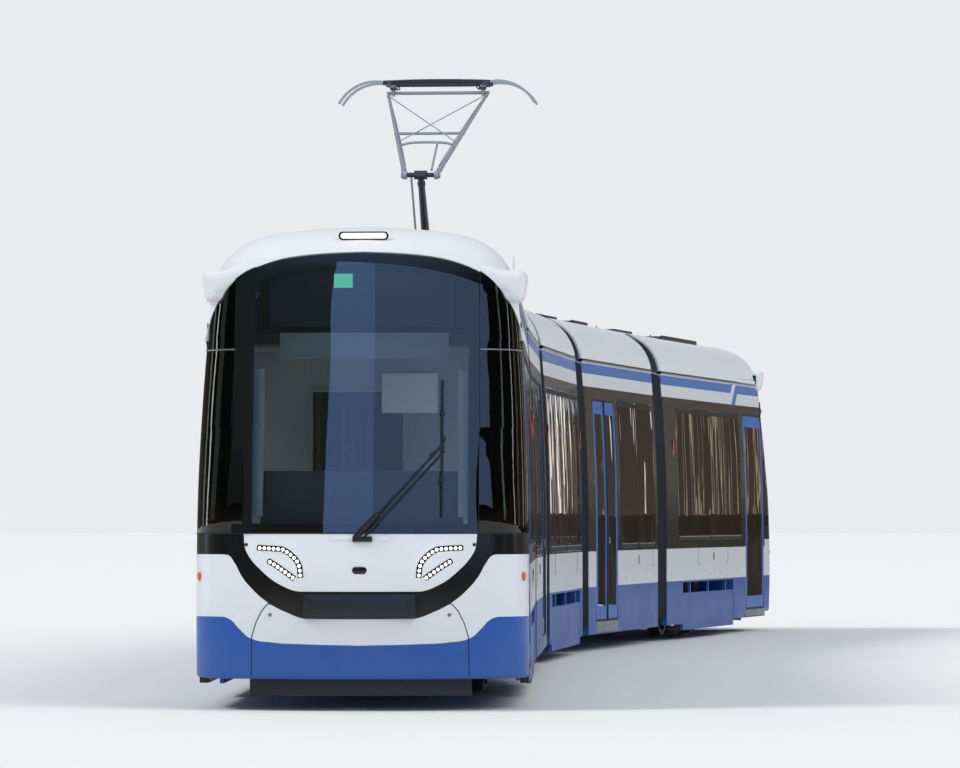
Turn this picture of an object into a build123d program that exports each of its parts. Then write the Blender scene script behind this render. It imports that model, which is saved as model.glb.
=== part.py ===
from build123d import *
from math import cos, hypot, radians, sin, sqrt
import os

os.makedirs("parts", exist_ok=True)

# Five-section low-floor tram for 1435 mm track. Lengths are in millimetres, and Z 0 is the rails' top.
# +Z is up. The centre section lies along Y about the origin. The front end faces -Y, and both ends bend
# towards +X.
# Each section is modelled straight in a frame of its own, and is then set about its pivots.

# Lengths of the sections and of the gaps that the bellows close
CAB_LENGTH = 7430
SALOON_LENGTH = 4480
CENTRE_LENGTH = 3830
BELLOWS_GAP = 620

# Angles at the four pivots as the tram stands, in degrees
FRONT_INNER_BEND = 3.87
FRONT_OUTER_BEND = 0.82
REAR_INNER_BEND = 5.25
REAR_OUTER_BEND = 1.63

# Cross-section of the bodies
HALF_WIDTH = 1200
TUMBLE_START = 1100
EAVES_HALF = 1123
EAVES_Z = 2955
SKIRT_Z = 150
WALL = 65
FLOOR_Z = 350
FLOOR_THICKNESS = 110
CEILING_Z = 2620
ROOF_Z = 2990
SHADOW_GAP = 50
END_WALL = 60
TUMBLE = HALF_WIDTH - EAVES_HALF
TUMBLE_RADIUS = ((EAVES_Z - TUMBLE_START) ** 2 + TUMBLE ** 2) / (2 * TUMBLE)

# Gangway through the section ends
GANGWAY_WIDTH = 1500
GANGWAY_TOP = 2400

# Clearances: between parts that seat on each other, at seams that show, and at door edges
SEAT = 0.3
SEAM = 4
DOOR_GAP = 6

# Glazing band
BAND_LOW = 1005
BAND_HIGH = 2617
PANE = 10
REBATE = 11
PANE_LIP = 60

# Doors
DOOR_LOW = 280
DOOR_HIGH = 2580
DOOR_LEAF = 42
DOOR_STILE = 95
DOOR_RAIL = 150

# Roof cowls and the arch that they share with the cab's hood
SHOULDER_LOW = (1120, 2990)
SHOULDER_MID = (1003, 3255)
SHOULDER_HIGH = (780, 3405)
CROWN_Z = 3490
COWL = 35
COWL_FOOT = 90
COWL_FOOT_HEIGHT = 30

# Running gear
WHEELBASE = 1850
WHEEL_RADIUS = 295
JOURNAL_RADIUS = 50
JOURNAL_CLEARANCE = 0.3
JOURNAL_END = 1020
FRAME_INSIDE = 900
FRAME_OUTSIDE = 1010
FRAME_DEPTH = 220
CROSS_MEMBER_Y = 300
MOTOR_Y = 480
MOTOR_RADIUS = 135
BRAKE_INSIDE = 735
BRAKE_OUTSIDE = 800
BRAKE_LOW = 22
BRAKE_HIGH = 95
BRAKE_HALF_LENGTH = 480
SPRING_RADIUS = 65
SPRING_Y = 240
SPRING_TURNS = 5
SPRING_PITCH = 48
SPRING_TURN_HEIGHT = 26
FRAME_WINDOW_Y = 560
BRAKE_HANGER = 30
BOX_HALF_LENGTH = 1420
BOX_PLATE = 40
AISLE_Z = 450
AISLE_HALF = 560
BOX_TOP = 720
COVER_LENGTH = 3300
COVER_LOW = 80
COVER_HIGH = 500
COVER_THICKNESS = 32
COVER_OPENING_TOP = 620
COVER_POST_HALF = 25
CAB_BOGIE_Y = 4790
CENTRE_BOGIE_Y = CENTRE_LENGTH / 2

# Cab front: how its plan outline changes with height
NOSE_BACK = 930
NOSE_WALL = 60
FRONT_GLASS_LOW = 1240
GLASS = 12
WINDSCREEN_HALF = 845
PILLAR = 70
PILLAR_DEPTH = 60
# Columns: height, distance of the tip behind the nose, radius of the front, radius of the corners
NOSE_LEVELS = (
    (200, 60, 2600, 450),
    (720, 0, 2600, 450),
    (FRONT_GLASS_LOW, 50, 2600, 450),
)
UPPER_LEVELS = (
    (FRONT_GLASS_LOW, 50, 2600, 450),
    (2000, 220, 2550, 440),
    (2640, 425, 2500, 400),
    (3280, 650, 2400, 380),
    (3500, 850, 2300, 380),
)
# Top edge of the front glazing seen from the front. Columns: half width, height
GLAZING_ARCH = ((0, 3280), (560, 3238), (860, 3140), (1035, 2960), (1170, 2640))
HOOD_BACK = 2300
HOOD_WALL = 45
POD_FRONT = 780
POD_LENGTH = 370
POD_LOW = 2930
POD_HIGH = 3140
POD_REACH = 1195
POD_INSIDE = 980

# Pantograph
PANTOGRAPH_Y = -1315
PANTOGRAPH_Z = 3450
LOWER_ARM = 1450
LOWER_ANGLE = 52
UPPER_ARM = 1790
UPPER_ANGLE = 30
HEAD_HALF = 955
STRIP_HALF = 515
STRIP_SPACING = 280
PIN_CLEARANCE = 0.3


def side_x(height, inset=0):
    """Half width of the body at a height, for the layer that lies inset from its outside."""
    lean = max(height - TUMBLE_START, 0)
    return HALF_WIDTH - TUMBLE_RADIUS + sqrt((TUMBLE_RADIUS - inset) ** 2 - lean ** 2)


def at_y(y):
    """Plane across the tram at y, with X to the right and Z up. A negative extrusion runs towards +Y."""
    return Plane.XZ.offset(-y)


def side_curve(low, high, inset):
    """Line up the right side from low to high at an inset, inside a BuildLine."""
    start = low
    if low < TUMBLE_START:
        start = min(TUMBLE_START, high)
        Line((side_x(low, inset), low), (side_x(start, inset), start))
    if high > start:
        heights = (start, (start + high) / 2, high)
        ThreePointArc(*[(side_x(height, inset), height) for height in heights])


def full_section(low, high, inset, y0, y1, mode=Mode.ADD):
    """Whole cross-section between two heights, run from y0 to y1."""
    with BuildSketch(at_y(y0)) as section:
        with BuildLine():
            side_curve(low, high, inset)
            Line((side_x(high, inset), high), (0, high))
            Line((0, high), (0, low))
            Line((0, low), (side_x(low, inset), low))
        make_face()
        mirror(about=Plane.YZ)
    extrude(section.sketch, amount=y0 - y1, mode=mode)


def wall_panels(y0, y1, low, high, outside, inside, mode=Mode.ADD):
    """A panel in each side wall, between two insets from the body's outside."""
    with BuildSketch(at_y(y0)) as panels:
        with BuildLine():
            side_curve(low, high, outside)
            Line((side_x(high, outside), high), (side_x(high, inside), high))
            side_curve(low, high, inside)
            Line((side_x(low, inside), low), (side_x(low, outside), low))
        make_face()
        mirror(about=Plane.YZ)
    extrude(panels.sketch, amount=y0 - y1, mode=mode)


def block(x0, x1, y0, y1, z0, z1, mode=Mode.ADD):
    """Plain block between two corners."""
    with BuildSketch(Plane.XY.offset(z0)) as foot:
        with Locations(((x0 + x1) / 2, (y0 + y1) / 2)):
            Rectangle(x1 - x0, y1 - y0)
    extrude(foot.sketch, amount=z1 - z0, mode=mode)


def twin_blocks(x0, x1, y0, y1, z0, z1, mode=Mode.ADD):
    """The same block on both sides of the tram."""
    for side in (1, -1):
        block(min(side * x0, side * x1), max(side * x0, side * x1), y0, y1, z0, z1, mode)


def side_opening(y0, y1, low, high):
    """Opening through both side walls."""
    block(-HALF_WIDTH, HALF_WIDTH, y0, y1, low, high, Mode.SUBTRACT)


def wheel_box(centre):
    """Raised floor over a bogie, with the boxes over its wheels."""
    y0 = centre - BOX_HALF_LENGTH
    y1 = centre + BOX_HALF_LENGTH
    inner = side_x(0, WALL)
    floor_low = FLOOR_Z - FLOOR_THICKNESS
    block(-inner, inner, y0, y1, floor_low, BOX_TOP)
    block(-AISLE_HALF, AISLE_HALF, y0, y1, AISLE_Z, BOX_TOP, Mode.SUBTRACT)
    y0 += BOX_PLATE
    y1 -= BOX_PLATE
    under = AISLE_HALF + BOX_PLATE
    block(-under, under, y0, y1, floor_low, AISLE_Z - BOX_PLATE * 1.5, Mode.SUBTRACT)
    twin_blocks(under, inner, y0, y1, floor_low, BOX_TOP - BOX_PLATE, Mode.SUBTRACT)


# Joint between two sections: a fork with the floor's turning plate, and a tongue on its pin
PIVOT = BELLOWS_GAP / 2
PLATE_RADIUS = 540
PLATE_THICKNESS = 15
PLATE_CLEARANCE = 10
TONGUE_LOW = 245
TONGUE_HIGH = 300
FORK_LOW = 180
FORK_HIGH = 215
LUG_RADIUS = 150
PIN_RADIUS = 45
LUG_ROOT = 250


def lug(end, direction, low, high):
    """Plate that reaches from a section's end to the pivot."""
    pivot = end + direction * PIVOT
    root = end - direction * LUG_ROOT
    with BuildSketch(Plane.XY.offset(low)) as plate:
        with Locations((0, (pivot + root) / 2)):
            Rectangle(2 * LUG_RADIUS, abs(pivot - root))
        with Locations((0, pivot)):
            Circle(LUG_RADIUS)
    extrude(plate.sketch, amount=high - low)


def disc(y, radius, low, high, mode=Mode.ADD):
    """Upright cylinder on the centre line."""
    with BuildSketch(Plane.XY.offset(low)) as circle:
        with Locations((0, y)):
            Circle(radius)
    extrude(circle.sketch, amount=high - low, mode=mode)


def fork_end(end, direction):
    """Turning plate, lower lug and pin at the end that carries them."""
    pivot = end + direction * PIVOT
    lug(end, direction, FORK_LOW, FORK_HIGH)
    near = end - direction * LUG_ROOT
    far = near + direction * BOX_PLATE
    block(-LUG_RADIUS, LUG_RADIUS, min(near, far), max(near, far), FORK_HIGH, FLOOR_Z - FLOOR_THICKNESS)
    disc(pivot, PIN_RADIUS, FORK_LOW, FLOOR_Z)
    disc(pivot, PLATE_RADIUS, FLOOR_Z - PLATE_THICKNESS, FLOOR_Z)


def tongue_end(end, direction):
    """Tongue with its eye, and the recess in the floor under the turning plate."""
    pivot = end + direction * PIVOT
    recess_low = FLOOR_Z - PLATE_THICKNESS - PLATE_CLEARANCE
    disc(pivot, PLATE_RADIUS + PLATE_CLEARANCE, recess_low, FLOOR_Z, Mode.SUBTRACT)
    lug(end, direction, TONGUE_LOW, TONGUE_HIGH)
    disc(pivot, PIN_RADIUS + PIN_CLEARANCE, TONGUE_LOW, TONGUE_HIGH, Mode.SUBTRACT)


# Pads for the workshop's jacks, under the floor's edges
JACK_INSIDE = 1000
JACK_OUTSIDE = 1140
JACK_LOW = 160
JACK_HALF_LENGTH = 70


def shell(y0, y1, cavity0, cavity1, passages, bogie, windows, doors, cover, jacks):
    """Body of one section: side walls, floor, roof and end walls, with its openings cut."""
    with BuildPart() as body:
        full_section(SKIRT_Z, EAVES_Z, 0, y0, y1)
        block(-EAVES_HALF + SHADOW_GAP, EAVES_HALF - SHADOW_GAP, y0, y1, EAVES_Z, ROOF_Z)
        full_section(SKIRT_Z, FLOOR_Z - FLOOR_THICKNESS, WALL, y0, y1, Mode.SUBTRACT)
        full_section(FLOOR_Z, CEILING_Z, WALL, cavity0, cavity1, Mode.SUBTRACT)
        if bogie is not None:
            wheel_box(bogie)
        for y in jacks:
            pad = (y - JACK_HALF_LENGTH, y + JACK_HALF_LENGTH)
            twin_blocks(JACK_INSIDE, JACK_OUTSIDE, *pad, JACK_LOW, FLOOR_Z)
        for start, end in passages:
            block(-GANGWAY_WIDTH / 2, GANGWAY_WIDTH / 2, start, end, FLOOR_Z, GANGWAY_TOP, Mode.SUBTRACT)
        for start, end, low, high in windows:
            wall_panels(start, end, low, high, -SHADOW_GAP, REBATE, Mode.SUBTRACT)
            side_opening(start + PANE_LIP, end - PANE_LIP, low + PANE_LIP, high - PANE_LIP)
        for start, end, low, high in doors:
            wall_panels(start, end, low, high, -SHADOW_GAP, WALL + SHADOW_GAP, Mode.SUBTRACT)
        if cover is not None:
            wall_panels(*cover, SKIRT_Z - SHADOW_GAP, COVER_OPENING_TOP, -SHADOW_GAP, WALL, Mode.SUBTRACT)
    return body


def side_glass(windows, leaves):
    """Panes in the walls and in the door leaves."""
    with BuildPart() as panes:
        for start, end, low, high in windows:
            wall_panels(
                start + SEAM, end - SEAM, low + SEAM, high - SEAM,
                REBATE - PANE - SEAT, REBATE - SEAT,
            )
        for start, end, low, high in leaves:
            wall_panels(
                start + DOOR_STILE + SEAT, end - DOOR_STILE - SEAT,
                low + DOOR_RAIL + SEAT, high - DOOR_RAIL - SEAT, SEAM, SEAM + PANE,
            )
    return panes


def door_leaves(leaves):
    """Door leaves on both sides, each a frame about its pane."""
    with BuildPart() as doors:
        for start, end, low, high in leaves:
            wall_panels(start, end, low, high, 2, DOOR_LEAF)
            wall_panels(
                start + DOOR_STILE, end - DOOR_STILE, low + DOOR_RAIL, high - DOOR_RAIL,
                -SHADOW_GAP, WALL, Mode.SUBTRACT,
            )
    return doors


def bogie_covers(y0, y1):
    """Side covers over a bogie, each hung from posts in the slot above it."""
    with BuildPart() as covers:
        wall_panels(y0 + SEAM, y1 - SEAM, COVER_LOW, COVER_HIGH, SEAM, SEAM + COVER_THICKNESS)
        for share in (0.15, 0.5, 0.85):
            post = y0 + (y1 - y0) * share
            wall_panels(
                post - COVER_POST_HALF, post + COVER_POST_HALF,
                COVER_HIGH, COVER_OPENING_TOP - SEAT, 2 * SEAM, COVER_THICKNESS,
            )
    return covers


# Seats. Columns: y of the seat's back, direction that it faces, height of what it stands on
SEAT_INSIDE = 640
SEAT_OUTSIDE = 1080
SEAT_CUSHION = 430
SEAT_HEIGHT = 420
SEAT_BACK = 700
SEAT_THICKNESS = 70


def seat_profile(y, facing, base):
    """Side outline of one seat with its pedestal."""
    top = base + SEAT_HEIGHT
    with BuildSketch(Plane.YZ.offset(SEAT_INSIDE)) as outline:
        with BuildLine():
            Polyline(
                (y, base + SEAT),
                (y + facing * SEAT_CUSHION * 0.7, base + SEAT),
                (y + facing * SEAT_CUSHION, top - SEAT_THICKNESS),
                (y + facing * SEAT_CUSHION, top),
                (y + facing * SEAT_THICKNESS, top),
                (y - facing * SEAT_THICKNESS * 0.4, top + SEAT_BACK),
                (y - facing * SEAT_THICKNESS * 1.4, top + SEAT_BACK),
                (y - facing * SEAT_THICKNESS, top - SEAT_THICKNESS),
                close=True,
            )
        make_face()
    extrude(outline.sketch, amount=SEAT_OUTSIDE - SEAT_INSIDE)


def saloon_seats(rows):
    """Passenger seats on both sides."""
    with BuildPart() as seats:
        for y, facing, base in rows:
            seat_profile(y, facing, base)
        mirror(about=Plane.YZ)
    return seats


def roof_fittings(y0, y1, units):
    """Side cowls, and the equipment cases between them."""
    with BuildPart() as roof:
        with BuildSketch(at_y(y0)):
            with BuildLine():
                low_x, low_z = SHOULDER_LOW
                mid_x, mid_z = SHOULDER_MID
                high_x, high_z = SHOULDER_HIGH
                seat_z = ROOF_Z + SEAT
                foot_z = seat_z + COWL_FOOT_HEIGHT
                ThreePointArc((low_x, foot_z), (mid_x, mid_z), (high_x, high_z))
                Line((high_x, high_z), (high_x - COWL * 0.35, high_z - COWL))
                ThreePointArc(
                    (high_x - COWL * 0.35, high_z - COWL),
                    (mid_x - COWL * 0.75, mid_z - COWL * 0.66),
                    (low_x - COWL, foot_z),
                )
                Polyline(
                    (low_x - COWL, foot_z), (low_x - COWL_FOOT, foot_z), (low_x - COWL_FOOT, seat_z),
                    (low_x, seat_z), (low_x, foot_z),
                )
            make_face()
            mirror(about=Plane.YZ)
        extrude(amount=y0 - y1)
        for start, end, half, height in units:
            with BuildSketch(Plane.XY.offset(ROOF_Z + SEAT)):
                with Locations((0, (start + end) / 2)):
                    RectangleRounded(2 * half, end - start, 60)
            extrude(amount=height)
    return roof


def bogie_frame(centre):
    """Frame with outside axle boxes, cross members, motors, track brakes and springs to the body."""
    with BuildPart() as frame:
        axle_z = WHEEL_RADIUS
        with BuildSketch(Plane.YZ.offset(FRAME_INSIDE)):
            with Locations((centre, axle_z)):
                SlotCenterToCenter(WHEELBASE, FRAME_DEPTH)
            with Locations((centre - FRAME_WINDOW_Y, axle_z), (centre + FRAME_WINDOW_Y, axle_z)):
                RectangleRounded(240, 90, 30, mode=Mode.SUBTRACT)
            with Locations((centre - WHEELBASE / 2, axle_z), (centre + WHEELBASE / 2, axle_z)):
                Circle(JOURNAL_RADIUS + JOURNAL_CLEARANCE, mode=Mode.SUBTRACT)
        extrude(amount=FRAME_OUTSIDE - FRAME_INSIDE)
        for side in (-1, 1):
            with BuildSketch(Plane.XY.offset(axle_z + FRAME_DEPTH / 2)):
                with Locations((FRAME_INSIDE / 2 + FRAME_OUTSIDE / 2, centre + side * SPRING_Y)):
                    Circle(SPRING_RADIUS * 0.7)
            extrude(amount=BOX_TOP - BOX_PLATE - SEAT - axle_z - FRAME_DEPTH / 2)
            for turn in range(SPRING_TURNS):
                with BuildSketch(Plane.XY.offset(axle_z + FRAME_DEPTH / 2 + 20 + turn * SPRING_PITCH)):
                    with Locations((FRAME_INSIDE / 2 + FRAME_OUTSIDE / 2, centre + side * SPRING_Y)):
                        Circle(SPRING_RADIUS)
                extrude(amount=SPRING_TURN_HEIGHT)
        mirror(about=Plane.YZ)
        for side in (-1, 1):
            y = centre + side * CROSS_MEMBER_Y
            with BuildSketch(Plane.YZ.offset(-FRAME_INSIDE - 20)):
                with Locations((y, axle_z - 20)):
                    RectangleRounded(110, 130, 25)
            extrude(amount=2 * FRAME_INSIDE + 40)
            with BuildSketch(Plane.YZ.offset(-320)):
                with Locations((centre + side * MOTOR_Y, axle_z - 50)):
                    Circle(MOTOR_RADIUS)
            extrude(amount=640)
            hanger = (y - BRAKE_HANGER, y + BRAKE_HANGER)
            twin_blocks(BRAKE_INSIDE, BRAKE_OUTSIDE, *hanger, BRAKE_HIGH, axle_z - 60)
        brake_start = centre - BRAKE_HALF_LENGTH
        brake_end = centre + BRAKE_HALF_LENGTH
        twin_blocks(BRAKE_INSIDE, BRAKE_OUTSIDE, brake_start, brake_end, BRAKE_LOW, BRAKE_HIGH)
    return frame


# Half section of a wheelset from the middle outwards. Columns: x, radius
WHEELSET_PROFILE = (
    (0, 60), (640, 60), (640, 105), (728, 105), (733, 228), (690, 238), (690, 313), (697, 322), (706, 322),
    (714, 299), (820, 293), (820, 238), (764, 228), (759, 105), (850, 105), (850, JOURNAL_RADIUS),
    (JOURNAL_END, JOURNAL_RADIUS),
)


def wheelset(y):
    """Two flanged wheels on their axle."""
    with BuildPart() as wheels:
        with BuildSketch(Plane(origin=(0, y, WHEEL_RADIUS), x_dir=(1, 0, 0), z_dir=(0, -1, 0))):
            with BuildLine():
                Polyline(*WHEELSET_PROFILE, (JOURNAL_END, 0), (0, 0), close=True)
            make_face()
            mirror(about=Plane.YZ)
        revolve(axis=Axis((0, y, WHEEL_RADIUS), (1, 0, 0)))
    return wheels


def plan_outline(tip, half, radius, bend, inset, back):
    """Plan of the cab front at one height: a wide front arc, two corner arcs and straight sides."""
    front_y = tip + radius
    corner_x = half - bend
    reach = radius - bend
    corner_y = front_y - sqrt(reach ** 2 - corner_x ** 2)
    way_x = corner_x / reach
    way_y = (corner_y - front_y) / reach
    touch = (way_x * (radius - inset), front_y + way_y * (radius - inset))
    bow = hypot(way_x + 1, way_y)
    corner = bend - inset
    middle = (corner_x + (way_x + 1) / bow * corner, corner_y + way_y / bow * corner)
    side = (half - inset, corner_y)
    with BuildLine() as outline:
        ThreePointArc((-touch[0], touch[1]), (0, tip + inset), touch)
        ThreePointArc(touch, middle, side)
        Polyline(side, (side[0], back), (-side[0], back), (-side[0], corner_y))
        ThreePointArc((-side[0], corner_y), (-middle[0], middle[1]), (-touch[0], touch[1]))
    make_face(outline.line.edges())


def low_plan(inset):
    """The nose's plan outline at its lower edge."""
    height, tip, radius, bend = NOSE_LEVELS[0]
    plan_outline(tip, side_x(height), radius, bend, inset, NOSE_BACK)


def front_form(levels, inset, back, mode=Mode.ADD):
    """The cab front's form through some levels, or a layer of it that lies inset from its outside."""
    sections = []
    for height, tip, radius, bend in levels:
        with BuildSketch(Plane.XY.offset(height)) as level:
            plan_outline(tip, side_x(height), radius, bend, inset, back)
        sections.append(level.sketch)
    loft(sections, mode=mode)


def front_layer(levels, outside, inside, back):
    """Shell of the cab front between two insets."""
    front_form(levels, outside, back)
    front_form(levels, inside, back + 1, Mode.SUBTRACT)


def under_arch(low, drop, half_inside, half_outside, y0, y1, mode):
    """Region seen from the front under the glazing's top edge, between two half widths, on both sides."""
    with BuildSketch(at_y(y0)) as region:
        with BuildLine():
            edge = Spline(*[(x, z - drop) for x, z in GLAZING_ARCH], tangents=((1, 0), (0.25, -1)))
            last = edge @ 1
            outside = last.X + 60
            Polyline(last, (outside, last.Y), (outside, low), (0, low), (0, GLAZING_ARCH[0][1] - drop))
        make_face()
        mirror(about=Plane.YZ)
        with Locations((0, (low + CROWN_Z) / 2)):
            Rectangle(2 * half_outside, CROWN_Z - low + 20, mode=Mode.INTERSECT)
            if half_inside:
                Rectangle(2 * half_inside, CROWN_Z - low + 20, mode=Mode.SUBTRACT)
    extrude(region.sketch, amount=y0 - y1, mode=mode)


# Nose: the lower shell of the cab front with its floor, bumper and corner pillars
BUMPER_HALF = 400
BUMPER_LOW = 640
BUMPER_HIGH = 800
BUMPER_PROUD = 30
WIPER_OUTSIDE = 34
WIPER_INSIDE = 14
# Wiper seen from the front: the two rods' ends, and the blade's middle with its width and length
WIPER_RODS = (((-20, 1225), (560, 1860)), ((40, 1225), (600, 1850)))
WIPER_ROD = 22
WIPER_BLADE = (585, 1840)
WIPER_BLADE_SIZE = (26, 980)
WIPER_YOKE = (575, 1860)
WIPER_YOKE_SIZE = (110, 60)
LAMP_WIDTH = 38
LAMP_PROUD = 4
# Path of a head lamp's two arms seen from the front. Columns: half width, height
LAMP_PATH = ((720, 1135), (560, 1128), (475, 1070), (440, 1005), (448, 925), (553, 985), (655, 1042))


def cab_nose():
    with BuildPart() as nose:
        front_layer(NOSE_LEVELS, 0, NOSE_WALL, NOSE_BACK)
        with BuildSketch(Plane.XY.offset(FLOOR_Z - FLOOR_THICKNESS)):
            low_plan(NOSE_WALL / 2)
        extrude(amount=FLOOR_THICKNESS)
        with BuildSketch(at_y(-BUMPER_PROUD)):
            with Locations((0, (BUMPER_LOW + BUMPER_HIGH) / 2)):
                RectangleRounded(2 * BUMPER_HALF, BUMPER_HIGH - BUMPER_LOW, 20)
        extrude(amount=-BUMPER_PROUD - NOSE_WALL)
    return nose


def cab_pillars():
    with BuildPart() as pillars:
        front_layer(UPPER_LEVELS, GLASS + 1.5, GLASS + PILLAR_DEPTH, HOOD_BACK)
        under_arch(FRONT_GLASS_LOW, SEAT, WINDSCREEN_HALF - PILLAR, WINDSCREEN_HALF + PILLAR, -100, NOSE_BACK,
                   Mode.INTERSECT)
    return pillars


def cab_glass(half_inside, half_outside, low):
    with BuildPart() as glass:
        front_layer(UPPER_LEVELS, 1, 1 + GLASS, HOOD_BACK)
        under_arch(low + SEAT, SEAT, half_inside, half_outside, -100, NOSE_BACK - SEAT, Mode.INTERSECT)
    return glass


def hood_form(inset, back):
    """The roof hood's solid form at an inset: the front form under the roof's arch."""
    low_x, low_z = SHOULDER_LOW
    with BuildPart() as form:
        front_form(UPPER_LEVELS, inset, HOOD_BACK)
        with BuildSketch(at_y(0)):
            with BuildLine():
                side_curve(BAND_HIGH, low_z, inset)
                ThreePointArc(
                    (side_x(low_z, inset), low_z),
                    (SHOULDER_MID[0] - inset * 0.75, SHOULDER_MID[1] - inset * 0.66),
                    (SHOULDER_HIGH[0] - inset * 0.35, SHOULDER_HIGH[1] - inset * 0.94),
                )
                Spline(
                    (SHOULDER_HIGH[0] - inset * 0.35, SHOULDER_HIGH[1] - inset * 0.94),
                    (0, CROWN_Z - inset),
                    tangents=((-1, 0.28), (-1, 0)),
                )
                Polyline((0, CROWN_Z - inset), (0, BAND_HIGH), (side_x(BAND_HIGH, inset), BAND_HIGH))
            make_face()
            mirror(about=Plane.YZ)
        extrude(amount=-back, mode=Mode.INTERSECT)
    return form


def cab_hood():
    outer = hood_form(0, HOOD_BACK)
    inner = hood_form(HOOD_WALL, HOOD_BACK - HOOD_WALL)
    with BuildPart() as hood:
        add(outer.part)
        with BuildSketch(Plane.XY.offset(POD_LOW)):
            for side in (1, -1):
                with Locations((side * (POD_REACH + POD_INSIDE) / 2, POD_FRONT + POD_LENGTH / 2)):
                    RectangleRounded(POD_REACH - POD_INSIDE, POD_LENGTH, 50)
        extrude(amount=POD_HIGH - POD_LOW)
        add(inner.part, mode=Mode.SUBTRACT)
        under_arch(BAND_HIGH - 10, 0, 0, HALF_WIDTH + 100, -100, NOSE_BACK, Mode.SUBTRACT)
        block(-HALF_WIDTH - 100, HALF_WIDTH + 100, NOSE_BACK, HOOD_BACK + 1, BAND_HIGH - 10, ROOF_Z + SEAT,
              Mode.SUBTRACT)
        block(-HALF_WIDTH - 100, HALF_WIDTH + 100, 0, NOSE_BACK, BAND_HIGH - 10, BAND_HIGH, Mode.SUBTRACT)
    return hood


def cab_lamps():
    """Lenses of the two head lamps, and the lamp in the hood's brow."""
    with BuildPart() as lamps:
        front_layer(NOSE_LEVELS, -LAMP_PROUD, -SEAT, NOSE_BACK)
        with BuildSketch(at_y(-100)):
            for side in (1, -1):
                with BuildLine() as path:
                    Polyline(*[(side * x, z) for x, z in LAMP_PATH])
                trace(path.line, line_width=LAMP_WIDTH)
        extrude(amount=-NOSE_BACK, mode=Mode.INTERSECT)
    return lamps


def cab_wiper():
    """Twin-rod wiper parked at the right of the windscreen, with its blade upright."""
    with BuildPart() as root:
        front_layer(NOSE_LEVELS, -WIPER_OUTSIDE, -SEAT, NOSE_BACK)
        block(-65, 85, -100, NOSE_BACK / 2, 1180, FRONT_GLASS_LOW, Mode.INTERSECT)
    with BuildPart() as wiper:
        front_layer(UPPER_LEVELS, -WIPER_OUTSIDE, -WIPER_INSIDE, HOOD_BACK)
        with BuildSketch(at_y(-200)):
            for start, end in WIPER_RODS:
                with BuildLine() as rod:
                    Line(start, end)
                trace(rod.line, line_width=WIPER_ROD)
            with Locations(WIPER_YOKE):
                Rectangle(*WIPER_YOKE_SIZE)
            with Locations(WIPER_BLADE):
                Rectangle(*WIPER_BLADE_SIZE)
        extrude(amount=-NOSE_BACK, mode=Mode.INTERSECT)
        add(root.part)
    return wiper


# Side outline of the desk with its glare shield. Columns: y, height
DESK_OUTLINE = (
    (430, FLOOR_Z + SEAT), (480, FLOOR_Z + SEAT), (520, 1000), (850, 1000), (870, 1050), (620, 1150),
    (500, 1690), (455, 1690), (430, 1150),
)
DESK_HALF = 730
CAB_WALL = 40
CAB_WALL_WINDOW = (-450, 250, 1400, 2300)


def cab_interior():
    """Driver's desk with its glare shield, and the wall behind the driver."""
    with BuildPart() as interior:
        with BuildSketch(Plane.YZ.offset(-DESK_HALF)):
            with BuildLine():
                Polyline(*DESK_OUTLINE, close=True)
            make_face()
        extrude(amount=2 * DESK_HALF)
        full_section(FLOOR_Z + SEAT, CEILING_Z - SEAT, WALL + SEAT, HOOD_BACK, HOOD_BACK + CAB_WALL)
        x0, x1, low, high = CAB_WALL_WINDOW
        block(x0, x1, HOOD_BACK, HOOD_BACK + CAB_WALL, low, high, Mode.SUBTRACT)
    return interior


DRIVER_Y = 1500
DRIVER_HALF = 250
DRIVER_PEDESTAL = 180
DRIVER_CUSHION_LOW = 720
DRIVER_CUSHION_HIGH = 850
DRIVER_BACK_HIGH = 1560
DRIVER_BACK = 100


def cab_seats(rows):
    """Driver's seat and the passenger seats."""
    with BuildPart() as seats:
        for y, facing, base in rows:
            seat_profile(y, facing, base)
        mirror(about=Plane.YZ)
        disc(DRIVER_Y, DRIVER_PEDESTAL, FLOOR_Z + SEAT, DRIVER_CUSHION_LOW)
        front = DRIVER_Y - DRIVER_HALF
        back = DRIVER_Y + DRIVER_HALF
        block(-DRIVER_HALF, DRIVER_HALF, front, back, DRIVER_CUSHION_LOW, DRIVER_CUSHION_HIGH)
        half = DRIVER_HALF - 10
        block(-half, half, back - DRIVER_BACK, back, DRIVER_CUSHION_HIGH, DRIVER_BACK_HIGH)
    return seats


GUARD_LOW = 80
GUARD_SETBACK = 90
GUARD_THICKNESS = 40
GUARD_HALF = 795
GUARD_BACK = 600


def life_guard():
    """Board that hangs under the nose, curved like it."""
    with BuildPart() as guard:
        with BuildSketch(Plane.XY.offset(GUARD_LOW)):
            low_plan(GUARD_SETBACK)
        extrude(amount=FLOOR_Z - FLOOR_THICKNESS - SEAT - GUARD_LOW)
        with BuildSketch(Plane.XY.offset(GUARD_LOW)):
            low_plan(GUARD_SETBACK + GUARD_THICKNESS)
        extrude(amount=FLOOR_Z - FLOOR_THICKNESS - GUARD_LOW, mode=Mode.SUBTRACT)
        block(-GUARD_HALF, GUARD_HALF, 0, GUARD_BACK, 0, FLOOR_Z, Mode.INTERSECT)
    return guard


# Windows and doors of each kind of section. Columns: start, end, low, high
CAB_WINDOWS = ((2560, 4630, 1080, 2600), (4640, 6710, 1080, 2600))
CAB_DOORS = ((990, 2270, 250, 2600),)
SALOON_WINDOWS = ((180, 1320, BAND_LOW + 10, 2600), (1330, 2480, BAND_LOW + 10, 2600))
SALOON_DOORS = ((2660, 4020, DOOR_LOW, DOOR_HIGH),)
CENTRE_WINDOWS = ((100, 1910, BAND_LOW + 10, 2600), (1920, 3730, BAND_LOW + 10, 2600))


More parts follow.
